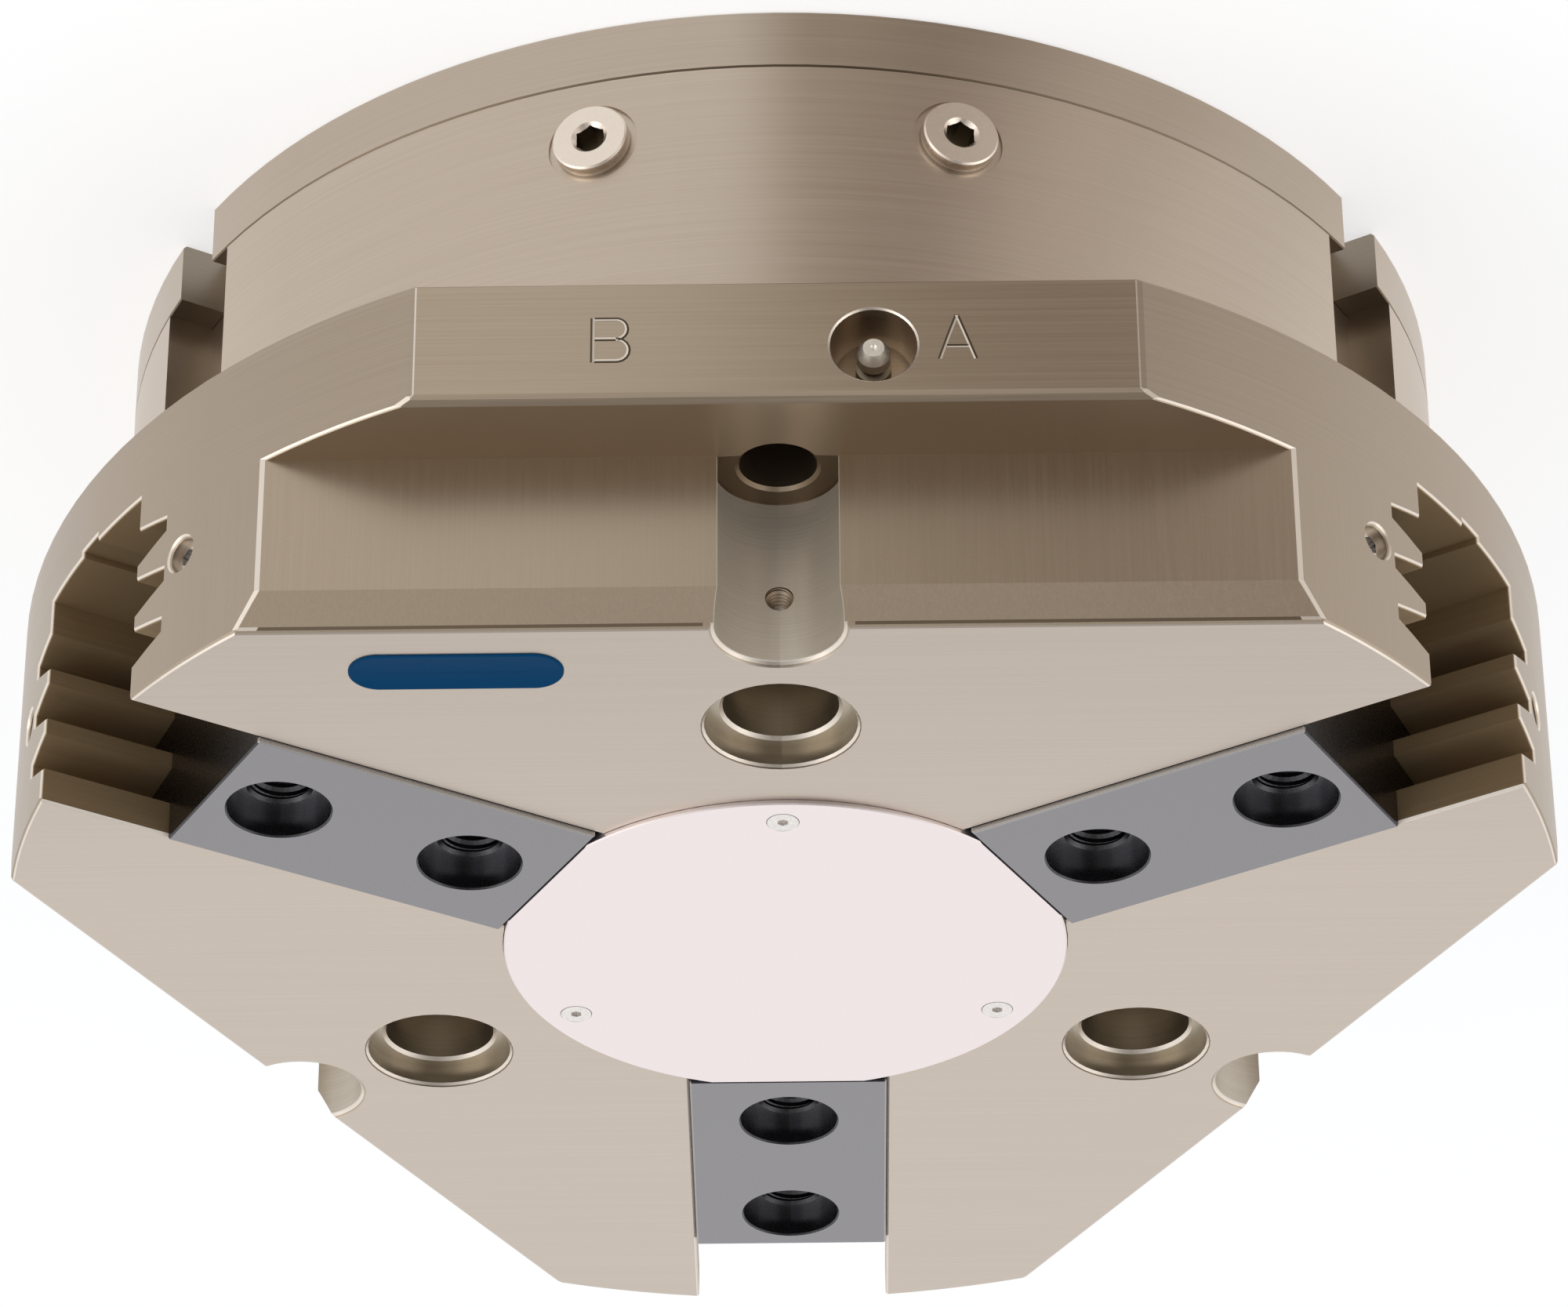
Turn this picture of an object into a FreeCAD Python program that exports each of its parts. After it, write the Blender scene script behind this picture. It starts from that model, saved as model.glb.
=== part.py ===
import FreeCAD, Part
import os
import Sketcher

# Three jaw centric gripper, jaws up. Millimetres and degrees.
# Origin: centre of the flat back face that is bolted to the robot. +Z points to the jaws.
# A flange and a drum carry the lobed housing, whose spigot closes the cylinder in the drum. Each of
# its three guideways holds one base jaw, and a piston with a wedge hook drives the jaws together.

DOC = FreeCAD.newDocument("centric_gripper")
SHEET = DOC.addObject("Spreadsheet::Sheet", "Sizes")

SIZES = {
    # Outside: flange, drum and lobed housing
    "body_radius": 230.0,
    "drum_radius": 201.5,
    "flange_thick": 20.0,
    "drum_height": 80.0,
    "body_height": 94.0,
    "edge_break": 1.0,
    "seam_break": 0.4,
    "corner_break": 0.8,
    # Two flats on each lobe: the upper one stands further out, the lower one carries the screw pocket
    "outer_flat": 206.5,
    "inner_flat": 179.5,
    "step_depth": 54.0,
    "step_break": 2.0,
    "bevel_height": 10.5,
    "bevel_depth": 5.5,
    # Guideways: a slot with three grooves in each wall
    "slot_width": 61.0,
    "slot_depth": 68.0,
    "relief_width": 10.0,
    "relief_depth": 2.0,
    "first_land": 11.0,
    "groove_pitch": 17.0,
    "groove_mouth": 12.0,
    "groove_floor": 4.0,
    "groove_flank": 5.0,
    "groove_depth": 13.8,
    "guide_gap": 0.15,
    # Base jaws
    "jaw_start": 80.3,
    "jaw_length": 107.5,
    "jaw_proud": 1.5,
    "jaw_break": 0.5,
    "stroke": 45.0,
    "foot_width": 50.0,
    "foot_reach": 128.0,
    "foot_lift": 4.0,
    "foot_headroom": 12.5,
    "jaw_hole_near": 105.4,
    "jaw_hole_far": 166.8,
    "sleeve_radius": 15.0,
    "sleeve_depth": 8.0,
    "jaw_thread_radius": 8.75,
    "jaw_thread_depth": 40.0,
    "hole_break": 1.0,
    # Wedge hook with an inclined T rail for each jaw
    "wedge_angle": 45.0,
    "hook_height": 38.0,
    "hook_reach": 95.0,
    "hook_hub_radius": 35.0,
    "hook_lift": 1.0,
    "arm_width": 34.0,
    "neck_width": 18.0,
    "neck_depth": 10.0,
    "rail_width": 32.0,
    "rail_depth": 12.0,
    "rail_gap": 0.2,
    "hub_clearance_radius": 66.0,
    "pocket_margin": 1.0,
    # Cylinder, piston and rod
    "bore_radius": 150.0,
    "piston_thick": 25.0,
    "end_gap": 0.3,
    "piston_gap": 0.3,
    "seal_gap": 0.05,
    "partition_thick": 15.4,
    "spigot_gap": 0.05,
    "rod_radius": 30.0,
    "rod_clearance": 0.5,
    "bush_wall": 4.0,
    "bush_length": 8.0,
    "rod_seal_wall": 5.0,
    "rod_seal_height": 4.0,
    "rod_seal_lip": 2.0,
    "piston_seal_height": 6.0,
    "piston_seal_wall": 6.0,
    "guide_ring_height": 6.0,
    "guide_ring_wall": 2.5,
    "ring_spacing": 3.0,
    "piston_chamfer": 5.0,
    "rod_spigot_radius": 20.0,
    "rod_spigot_length": 5.0,
    # Cover plate over the wedge hook
    "cover_radius": 83.8,
    "cover_thick": 5.0,
    "cover_gap": 0.25,
    "cover_screw_circle": 73.5,
    "cover_screw_radius": 2.5,
    "cover_screw_head": 4.6,
    "cover_screw_length": 14.0,
    "cover_screw_socket": 3.0,
    # Screw pockets and through holes for the mounting screws
    "mount_circle": 173.2,
    "mount_pocket_radius": 18.0,
    "mount_pocket_break": 1.5,
    "mount_hole_radius": 11.0,
    "eye_thread_radius": 4.0,
    "eye_thread_level": 22.0,
    "eye_thread_depth": 16.0,
    # Stepped bores in the jaw side face
    "face_bore_circle": 123.0,
    "face_bore_mouth": 21.7,
    "face_bore_mouth_depth": 6.3,
    "face_bore_radius": 16.5,
    "face_bore_depth": 26.0,
    "face_bore_cone": 8.0,
    # Recesses under the guideways for screws put in from the side
    "notch_distance": 186.4,
    "drum_notch_width": 40.4,
    "flange_notch_width": 22.0,
    # Air ports with collar plugs
    "port_angle": 15.0,
    "port_level": 22.0,
    "port_spot_radius": 13.2,
    "port_spot_depth": 1.2,
    "port_thread_radius": 8.3,
    "port_depth": 16.0,
    "plug_collar_radius": 11.05,
    "plug_collar_height": 3.8,
    "plug_washer_thick": 0.8,
    "plug_length": 8.0,
    "plug_socket": 8.0,
    "plug_socket_depth": 6.5,
    "plug_socket_mouth": 5.3,
    "channel_radius": 3.0,
    "channel_circle": 191.0,
    "lower_channel_level": 3.6,
    "upper_channel_drop": 3.6,
    "base_seal_radius": 5.0,
    "base_seal_section": 1.2,
    # Grease nipple in the outer flat
    "nipple_offset": 26.9,
    "nipple_level": 21.8,
    "nipple_bore_radius": 12.15,
    "nipple_bore_depth": 15.0,
    "nipple_floor_radius": 10.8,
    "nipple_floor_depth": 17.0,
    "nipple_thread_radius": 4.0,
    "nipple_thread_length": 8.0,
    "nipple_body_radius": 5.0,
    "nipple_body_height": 6.0,
    "nipple_neck_radius": 3.6,
    "nipple_shoulder_radius": 4.7,
    "nipple_shoulder_slope": 1.0,
    "nipple_neck_height": 2.0,
    "nipple_head_radius": 3.0,
    "nipple_head_height": 3.0,
    "nipple_mouth": 1.0,
    "nipple_inset": 1.5,
    "grease_channel_radius": 2.0,
    # Set screws beside the guideways
    "side_screw_angle": 46.9,
    "side_screw_level": 38.0,
    "side_screw_radius": 5.0,
    "side_screw_length": 10.0,
    "side_screw_inset": 3.0,
    "side_screw_socket": 5.0,
    "side_screw_break": 1.0,
    # Screws and dowels between the flange and the drum
    "flange_screw_circle": 168.0,
    "flange_screw_angle": 10.0,
    "flange_screw_count": 9,
    "flange_screw_radius": 5.0,
    "flange_screw_clearance": 0.5,
    "flange_screw_head_radius": 8.0,
    "flange_screw_head_height": 10.0,
    "flange_screw_sink": 11.0,
    "flange_screw_grip": 20.0,
    "flange_screw_socket": 8.0,
    "flange_dowel_radius": 5.0,
    "flange_dowel_length": 24.0,
    "flange_dowel_angle": 70.0,
    "bore_seal_circle": 156.0,
    "bore_seal_section": 2.0,
    "spigot_radius": 40.0,
    "spigot_depth": 6.0,
    # Screws and dowels of the piston, rod and hook
    "core_screw_radius": 8.0,
    "core_head_radius": 12.0,
    "core_head_height": 12.0,
    "core_head_sink": 13.0,
    "core_screw_grip": 26.0,
    "core_screw_socket": 14.0,
    "hook_head_sink": 14.0,
    "hook_dowel_radius": 4.0,
    "hook_dowel_circle": 19.0,
    "hook_dowel_length": 24.0,
}

for row, (alias, value) in enumerate(SIZES.items(), start=1):
    SHEET.set(f"A{row}", alias)
    SHEET.set(f"B{row}", str(value))
    SHEET.setAlias(f"B{row}", alias)
DOC.recompute()


def size(name):
    """The sheet cell of a size, or an expression of sizes in braces, as the document reads it."""
    text = name if "{" in name else "{" + name + "}"
    return text.replace("{", "Sizes.").replace("}", "")


def number(expression):
    """The value of an expression in millimetres or degrees."""
    return float(SHEET.evalExpression(expression))


# Levels above the back face, as expressions of the sizes
SEAM = size("flange_thick")
SHOULDER = size("({flange_thick} + {drum_height})")
FACE = size("({flange_thick} + {drum_height} + {body_height})")
STEP = f"({FACE} - {size('step_depth')})"
SLOT_FLOOR = f"({FACE} - {size('slot_depth')})"
COVER_TOP = f"({FACE} + {size('jaw_proud')})"
COVER_SEAT = f"({COVER_TOP} - {size('cover_thick')})"
PISTON_LOW = size("({flange_thick} + {end_gap})")
PISTON_TOP = f"({PISTON_LOW} + {size('piston_thick')})"
CHAMBER_TOP = f"({PISTON_TOP} + {size('stroke')} + {size('end_gap')})"
POCKET_FLOOR = f"({CHAMBER_TOP} + {size('partition_thick')})"
BUSH_LOW = f"({POCKET_FLOOR} - {size('bush_length')})"
ROD_SEAL_LOW = f"({CHAMBER_TOP} + {size('rod_seal_lip')})"
ROD_SEAL_TOP = f"({ROD_SEAL_LOW} + {size('rod_seal_height')})"
HOOK_LOW = f"({POCKET_FLOOR} + {size('hook_lift')})"
HOOK_TOP = f"({HOOK_LOW} + {size('hook_height')})"
FOOT_LOW = f"({POCKET_FLOOR} + {size('foot_lift')})"
FOOT_TOP = f"({COVER_SEAT} - {size('foot_headroom')})"
PORT_LEVEL = size("({flange_thick} + {port_level})")
NIPPLE_LEVEL = f"({SHOULDER} + {size('nipple_level')})"
SIDE_SCREW_LEVEL = f"({FACE} - {size('side_screw_level')})"
EYE_LEVEL = f"({FACE} - {size('eye_thread_level')})"
OVER = "2"

NODES = []
UPRIGHT_Y = FreeCAD.Vector(0, 1, 0)


def new_body(name):
    """One sub-part: a body whose label is the name of its file."""
    body = DOC.addObject("PartDesign::Body", name)
    body.Label = name
    NODES.append(body)
    return body


def origin_plane(body, role):
    """The body's own origin plane or axis of the given role."""
    return next(item for item in body.Origin.OriginFeatures if item.Role == role)


def new_sketch(body, name, plane, across="0", up="0", out="0", turn=None):
    """A sketch on an origin plane, shifted across, up and out of it and turned about its own upright."""
    sketch = body.newObject("Sketcher::SketchObject", name)
    sketch.AttachmentSupport = [(origin_plane(body, plane), "")]
    sketch.MapMode = "FlatFace"
    angle = number(turn) if turn else 0.0
    base = FreeCAD.Vector(number(across), number(up), number(out))
    sketch.AttachmentOffset = FreeCAD.Placement(base, FreeCAD.Rotation(UPRIGHT_Y, angle))
    for axis, shift in (("x", across), ("y", up), ("z", out)):
        sketch.setExpression(f"AttachmentOffset.Base.{axis}", shift)
    if turn:
        sketch.setExpression("AttachmentOffset.Rotation.Angle", turn)
    return sketch


def draw_outline(sketch, corners):
    """A closed outline of straight lines through corners, each a pair of expressions."""
    places = [FreeCAD.Vector(number(across), number(up), 0) for across, up in corners]
    first = sketch.GeometryCount
    count = len(places)
    for index, place in enumerate(places):
        sketch.addGeometry(Part.LineSegment(place, places[(index + 1) % count]))
    for index, (across, up) in enumerate(corners):
        line = first + index
        following = first + (index + 1) % count
        sketch.addConstraint(Sketcher.Constraint("Coincident", line, 2, following, 1))
        for kind, value in (("DistanceX", across), ("DistanceY", up)):
            rule = sketch.addConstraint(Sketcher.Constraint(kind, line, 1, number(value)))
            sketch.setExpression(f"Constraints[{rule}]", value)
    return sketch


def draw_circle(sketch, across, up, radius):
    """A circle whose centre and radius are expressions."""
    centre = FreeCAD.Vector(number(across), number(up), 0)
    ring = sketch.addGeometry(Part.Circle(centre, FreeCAD.Vector(0, 0, 1), number(radius)))
    for kind, value in (("DistanceX", across), ("DistanceY", up)):
        rule = sketch.addConstraint(Sketcher.Constraint(kind, ring, 3, number(value)))
        sketch.setExpression(f"Constraints[{rule}]", value)
    rule = sketch.addConstraint(Sketcher.Constraint("Radius", ring, number(radius)))
    sketch.setExpression(f"Constraints[{rule}]", radius)
    return sketch


def draw_hexagon(sketch, across, up, flats):
    """A hexagon socket given by its centre and its width across flats."""
    corners = []
    for step in range(6):
        angle = 30 + 60 * step
        reach = f"{flats} / 2 / cos(30)"
        corners.append((f"{across} + {reach} * cos({angle})", f"{up} + {reach} * sin({angle})"))
    return draw_outline(sketch, corners)


def extrude(body, kind, sketch, length, reverse=False, both_ways=False):
    """A Pad or Pocket of a sketch by a length."""
    feature = body.newObject(f"PartDesign::{kind}", f"{kind}_{sketch.Name}")
    feature.Profile = (sketch, [""])
    feature.Length = number(length)
    feature.setExpression("Length", length)
    feature.Reversed = reverse
    feature.SideType = "Symmetric" if both_ways else "One side"
    feature.Refine = False
    return feature


def turned(body, kind, sketch, axis):
    """A Revolution or Groove of a sketch about one of its own axes."""
    feature = body.newObject(f"PartDesign::{kind}", f"{kind}_{sketch.Name}")
    feature.Profile = (sketch, [""])
    feature.ReferenceAxis = (sketch, [axis])
    feature.Angle = 360
    feature.Refine = False
    return feature


def around(body, features, count="3"):
    """The features repeated evenly about the gripper's axis."""
    pattern = body.newObject("PartDesign::PolarPattern", f"Around_{features[0].Name}")
    pattern.Originals = features
    pattern.Axis = (origin_plane(body, "Z_Axis"), [""])
    pattern.Angle = 360
    pattern.Occurrences = int(number(count))
    if count != "3":
        pattern.setExpression("Occurrences", count)
    pattern.Refine = False
    body.Tip = pattern


def half(name):
    """Half of a size, as an expression."""
    return f"{size(name)} / 2"


def guide_profile(width, gap, top, low, relief=False):
    """The slot's or jaw's cross-section: straight walls with three toothed steps on each side.

    Every tooth is one pitch below the last one. gap widens or narrows the whole profile evenly.
    """
    side = f"({width} / 2 + {gap})"
    deep = f"({width} / 2 + {size('groove_depth')} + {gap})"
    right = [(side, top)]
    for tooth in range(3):
        mouth = f"({FACE} - {size('first_land')} - {tooth} * {size('groove_pitch')})"
        right.append((side, f"({mouth} + {gap})"))
        right.append((deep, f"({mouth} - {size('groove_flank')} + {gap})"))
        right.append((deep, f"({mouth} - {size('groove_flank')} - {size('groove_floor')} - {gap})"))
        right.append((side, f"({mouth} - {size('groove_mouth')} - {gap})"))
    right.append((side, low))
    if relief:
        right.append((half("relief_width"), low))
        right.append((half("relief_width"), f"({low} - {size('relief_depth')})"))
    left = [(f"-{across}", up) for across, up in reversed(right)]
    return right + left


def build_drum():
    """Cylinder between flange and housing, with the ports and the recesses under the guideways."""
    body = new_body("drum")
    section = [
        (size("bore_radius"), SEAM),
        (size("({drum_radius} - {seam_break})"), SEAM),
        (size("drum_radius"), size("({flange_thick} + {seam_break})")),
        (size("drum_radius"), SHOULDER),
        (size("bore_radius"), SHOULDER),
    ]
    turned(body, "Revolution", draw_outline(new_sketch(body, "section", "XZ_Plane"), section), "V_Axis")
    cut_side_recesses(body)
    cut_ports(body)
    cut_flange_threads(body)
    sketch = new_sketch(body, "mount_hole", "XY_Plane", out=SEAM)
    draw_circle(sketch, "0", f"-{size('mount_circle')}", size("mount_hole_radius"))
    around(body, [extrude(body, "Pocket", sketch, size("drum_height"), reverse=True)])


def build_housing():
    """Lobed body with the guideways, the pocket for the hook and the spigot that closes the cylinder."""
    body = new_body("housing")
    rim = size("edge_break")
    spigot = size("({bore_radius} - {spigot_gap})")
    section = [
        (spigot, CHAMBER_TOP),
        (spigot, SHOULDER),
        (size("({body_radius} - {edge_break})"), SHOULDER),
        (size("body_radius"), f"{SHOULDER} + {rim}"),
        (size("body_radius"), f"{FACE} - {rim}"),
        (size("({body_radius} - {edge_break})"), FACE),
        (size("({cover_radius} + {cover_gap})"), FACE),
        (size("({cover_radius} + {cover_gap})"), COVER_SEAT),
        (size("hub_clearance_radius"), COVER_SEAT),
        (size("hub_clearance_radius"), POCKET_FLOOR),
        (size("({rod_radius} + {bush_wall})"), POCKET_FLOOR),
        (size("({rod_radius} + {bush_wall})"), BUSH_LOW),
        (size("({rod_radius} + {rod_clearance})"), BUSH_LOW),
        (size("({rod_radius} + {rod_clearance})"), ROD_SEAL_TOP),
        (size("({rod_radius} + {rod_seal_wall})"), ROD_SEAL_TOP),
        (size("({rod_radius} + {rod_seal_wall})"), ROD_SEAL_LOW),
        (size("({rod_radius} + {rod_clearance})"), ROD_SEAL_LOW),
        (size("({rod_radius} + {rod_clearance})"), CHAMBER_TOP),
    ]
    turned(body, "Revolution", draw_outline(new_sketch(body, "section", "XZ_Plane"), section), "V_Axis")
    cut_flats(body)
    cut_guideways(body)
    cut_screw_pockets(body)
    cut_face_bores(body)
    cut_nipple_bore(body)
    cut_side_screw_holes(body)
    break_housing_edges(body)


def cut_flats(body):
    """The two flats of each lobe with the step between them and the bevel at the face."""
    outside = f"-({size('body_radius')} + {OVER})"
    outer = f"-{size('outer_flat')}"
    inner = f"-{size('inner_flat')}"
    front = f"-({size('inner_flat')} - {size('bevel_depth')})"
    corners = [
        (outside, f"{SHOULDER} - {OVER}"),
        (outer, f"{SHOULDER} - {OVER}"),
        (outer, f"{STEP} - {size('step_break')}"),
        (f"{outer} + {size('step_break')}", STEP),
        (inner, STEP),
        (inner, f"{FACE} - {size('bevel_height')}"),
        (front, FACE),
        (front, f"{FACE} + {OVER}"),
        (outside, f"{FACE} + {OVER}"),
    ]
    sketch = draw_outline(new_sketch(body, "flats", "YZ_Plane"), corners)
    around(body, [extrude(body, "Pocket", sketch, size("2 * {body_radius}"), both_ways=True)])


def cut_guideways(body):
    """The toothed slots for the jaws and the pocket under them for the hook and the jaws' feet."""
    top = f"({COVER_TOP} + {OVER})"
    profile = guide_profile(size("slot_width"), "0", top, SLOT_FLOOR, relief=True)
    slot = draw_outline(new_sketch(body, "guideway", "XZ_Plane"), profile)
    around(body, [extrude(body, "Pocket", slot, size("({body_radius} + {edge_break})"))])

    reach = size("({foot_reach} + {stroke} + {pocket_margin})")
    corners = [
        (f"-{half('slot_width')}", "0"),
        (half("slot_width"), "0"),
        (half("slot_width"), reach),
        (f"-{half('slot_width')}", reach),
    ]
    pocket = draw_outline(new_sketch(body, "foot_pocket", "XY_Plane", out=POCKET_FLOOR), corners)
    depth = f"{SLOT_FLOOR} - {POCKET_FLOOR}"
    around(body, [extrude(body, "Pocket", pocket, depth, reverse=True)])


def cut_screw_pockets(body):
    """Open screw pocket, through hole for the mounting screw and eye bolt thread in each lobe."""
    hole = size("mount_hole_radius")
    mouth = size("({mount_pocket_radius} + {mount_pocket_break})")
    corners = [
        ("0", f"{FACE} + {OVER}"),
        (mouth, f"{FACE} + {OVER}"),
        (mouth, FACE),
        (size("mount_pocket_radius"), f"{FACE} - {size('mount_pocket_break')}"),
        (size("mount_pocket_radius"), STEP),
        (size("({mount_hole_radius} + {hole_break})"), STEP),
        (hole, f"{STEP} - {size('hole_break')}"),
        (hole, f"{SHOULDER} - {OVER}"),
        ("0", f"{SHOULDER} - {OVER}"),
    ]
    place = f"-{size('mount_circle')}"
    sketch = draw_outline(new_sketch(body, "screw_pocket", "YZ_Plane", across=place), corners)
    pocket = turned(body, "Groove", sketch, "V_Axis")

    wall = size("({mount_circle} - {mount_pocket_radius})")
    radius = size("eye_thread_radius")
    corners = [
        (f"-({wall} + {OVER})", "0"),
        (f"-({wall} + {OVER})", radius),
        (f"-({wall} - {size('eye_thread_depth')})", radius),
        (f"-({wall} - {size('eye_thread_depth')} - {radius} / 2)", "0"),
    ]
    sketch = draw_outline(new_sketch(body, "eye_thread", "YZ_Plane", up=EYE_LEVEL), corners)
    thread = turned(body, "Groove", sketch, "H_Axis")
    around(body, [pocket, thread])


def cut_face_bores(body):
    """Stepped blind bores in the jaw side face and threads for the cover screws."""
    rest = f"({FACE} - {size('face_bore_mouth_depth')})"
    bottom = f"({FACE} - {size('face_bore_depth')})"
    corners = [
        ("0", f"{FACE} + {OVER}"),
        (size("({face_bore_mouth} + {hole_break})"), f"{FACE} + {OVER}"),
        (size("({face_bore_mouth} + {hole_break})"), FACE),
        (size("face_bore_mouth"), f"{FACE} - {size('hole_break')}"),
        (size("face_bore_mouth"), rest),
        (size("({face_bore_radius} + {hole_break})"), rest),
        (size("face_bore_radius"), f"{rest} - {size('hole_break')}"),
        (size("face_bore_radius"), bottom),
        ("0", f"{bottom} - {size('face_bore_cone')}"),
    ]
    place = f"-{size('face_bore_circle')}"
    sketch = draw_outline(new_sketch(body, "face_bore", "YZ_Plane", across=place), corners)
    bore = turned(body, "Groove", sketch, "V_Axis")

    sketch = new_sketch(body, "cover_thread", "XY_Plane", out=COVER_SEAT)
    draw_circle(sketch, "0", f"-{size('cover_screw_circle')}", size("cover_screw_radius"))
    around(body, [bore, extrude(body, "Pocket", sketch, size("cover_screw_length"))])


def notch_corners(width):
    """Rectangle from the notch's back wall outwards, under a guideway."""
    far = size("({body_radius} + {edge_break})")
    side = half(width)
    near = size("notch_distance")
    return [(f"-{side}", near), (side, near), (side, far), (f"-{side}", far)]


def cut_side_recesses(body):
    """Open recess in the drum under each guideway."""
    sketch = new_sketch(body, "drum_notch", "XY_Plane", out=SEAM)
    draw_outline(sketch, notch_corners("drum_notch_width"))
    around(body, [extrude(body, "Pocket", sketch, size("drum_height"), reverse=True)])


def cut_ports(body):
    """Two threaded ports, the upright channels to the back face and the two chamber channels."""
    outside = f"-({size('drum_radius')} + {OVER})"
    seat = f"-({size('drum_radius')} - {size('port_spot_depth')})"
    bottom = f"-({size('drum_radius')} - {size('port_depth')})"
    thread = size("port_thread_radius")
    corners = [
        (outside, "0"),
        (outside, size("port_spot_radius")),
        (seat, size("port_spot_radius")),
        (seat, thread),
        (bottom, thread),
        (bottom, "0"),
    ]
    channel = size("channel_radius")
    reach = f"-({size('bore_radius')} - {OVER})"
    behind = f"-{size('channel_circle')}"
    bore_level = f"{SEAM} + {size('lower_channel_level')}"
    roof_level = f"{CHAMBER_TOP} - {size('upper_channel_drop')}"
    for port, turn, level in (("a", "-", bore_level), ("b", "", roof_level)):
        angle = f"{turn}{size('port_angle')}"
        sketch = new_sketch(body, f"port_{port}", "YZ_Plane", up=PORT_LEVEL, turn=angle)
        turned(body, "Groove", draw_outline(sketch, corners), "H_Axis")

        sketch = new_sketch(body, f"chamber_channel_{port}", "YZ_Plane", up=level, turn=angle)
        draw_outline(sketch, [(behind, "0"), (behind, channel), (reach, channel), (reach, "0")])
        turned(body, "Groove", sketch, "H_Axis")

        sketch = new_sketch(body, f"upright_channel_{port}", "XY_Plane", out=SEAM)
        draw_circle(sketch, *port_channel_place(angle), channel)
        extrude(body, "Pocket", sketch, f"{PORT_LEVEL} - {SEAM}", reverse=True)

    sketch = new_sketch(body, "riser_channel_b", "XY_Plane", out=PORT_LEVEL)
    draw_circle(sketch, *port_channel_place(size("port_angle")), channel)
    extrude(body, "Pocket", sketch, f"{roof_level} - {PORT_LEVEL}", reverse=True)


def port_channel_place(angle):
    """Plan position of the upright channel behind a port."""
    circle = size("channel_circle")
    return f"{circle} * sin({angle})", f"-{circle} * cos({angle})"


def cut_nipple_bore(body):
    """Stepped bore for the grease nipple with its channel to the hook pocket."""
    flat = size("outer_flat")
    floor = f"-({flat} - {size('nipple_bore_depth')})"
    seat = f"-({flat} - {size('nipple_floor_depth')})"
    thread_end = f"-({flat} - {size('nipple_floor_depth')} - {size('nipple_thread_length')})"
    mouth = f"{size('nipple_bore_radius')} + {half('hole_break')}"
    corners = [
        (f"-({flat} + {OVER})", "0"),
        (f"-({flat} + {OVER})", mouth),
        (f"-{flat}", mouth),
        (f"-({flat} - {half('hole_break')})", size("nipple_bore_radius")),
        (floor, size("nipple_bore_radius")),
        (floor, size("nipple_floor_radius")),
        (seat, size("nipple_floor_radius")),
        (seat, size("nipple_thread_radius")),
        (thread_end, size("nipple_thread_radius")),
        (thread_end, size("grease_channel_radius")),
        (f"-{half('hub_clearance_radius')}", size("grease_channel_radius")),
        (f"-{half('hub_clearance_radius')}", "0"),
    ]
    place = f"-{size('nipple_offset')}"
    sketch = new_sketch(body, "nipple_bore", "YZ_Plane", up=NIPPLE_LEVEL, out=place)
    turned(body, "Groove", draw_outline(sketch, corners), "H_Axis")


def cut_side_screw_holes(body):
    """Radial threads for the set screws, one each side of every guideway."""
    skin = size("body_radius")
    radius = size("side_screw_radius")
    wide = f"{radius} + {size('side_screw_break')}"
    bottom = f"-({skin} - {size('side_screw_inset')} - {size('side_screw_length')})"
    corners = [
        (f"-({skin} + {OVER})", "0"),
        (f"-({skin} + {OVER})", wide),
        (f"-{skin}", wide),
        (f"-({skin} - {size('side_screw_break')})", radius),
        (bottom, radius),
        (bottom, "0"),
    ]
    holes = []
    for side, turn in (("left", "-"), ("right", "")):
        angle = f"{turn}{size('side_screw_angle')}"
        sketch = new_sketch(body, f"side_thread_{side}", "YZ_Plane", up=SIDE_SCREW_LEVEL, turn=angle)
        holes.append(turned(body, "Groove", draw_outline(sketch, corners), "H_Axis"))
    around(body, holes)


def flange_screw_place():
    """Plan position of the first flange screw."""
    circle = size("flange_screw_circle")
    angle = size("flange_screw_angle")
    return f"{circle} * cos({angle})", f"{circle} * sin({angle})"


def dowel_place():
    """Plan position of the first flange dowel."""
    circle = size("flange_screw_circle")
    angle = size("flange_dowel_angle")
    return f"{circle} * cos({angle})", f"{circle} * sin({angle})"


def cut_flange_threads(body):
    """Threads and dowel holes in the drum's back end."""
    sketch = new_sketch(body, "flange_thread", "XY_Plane", out=SEAM)
    draw_circle(sketch, *flange_screw_place(), size("flange_screw_radius"))
    thread = extrude(body, "Pocket", sketch, size("flange_screw_grip"), reverse=True)
    around(body, [thread], size("flange_screw_count"))

    sketch = new_sketch(body, "dowel_hole", "XY_Plane", out=SEAM)
    draw_circle(sketch, *dowel_place(), size("flange_dowel_radius"))
    hole = extrude(body, "Pocket", sketch, half("flange_dowel_length"), reverse=True)
    around(body, [hole])


def break_edges(body, amount, chosen):
    """A small chamfer on every edge of the finished shape that the rule picks."""
    DOC.recompute()
    tip = body.Tip
    names = [f"Edge{place}" for place, edge in enumerate(tip.Shape.Edges, start=1)
             if len(edge.Vertexes) == 2 and chosen(tip.Shape, edge)]
    chamfer = body.newObject("PartDesign::Chamfer", "Chamfer")
    chamfer.Base = (tip, names)
    chamfer.Size = number(amount)
    chamfer.setExpression("Size", amount)
    chamfer.Refine = False


def same(first, second):
    """Two lengths that agree within a thousandth of a millimetre."""
    return abs(first - second) < 0.001


def lies_level(edge, level):
    """Both ends of the edge are at one level."""
    return all(same(end.Point.z, level) for end in edge.Vertexes)


def middle(edge):
    """The point halfway along an edge."""
    first, last = edge.ParameterRange
    return edge.valueAt((first + last) / 2)


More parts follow.
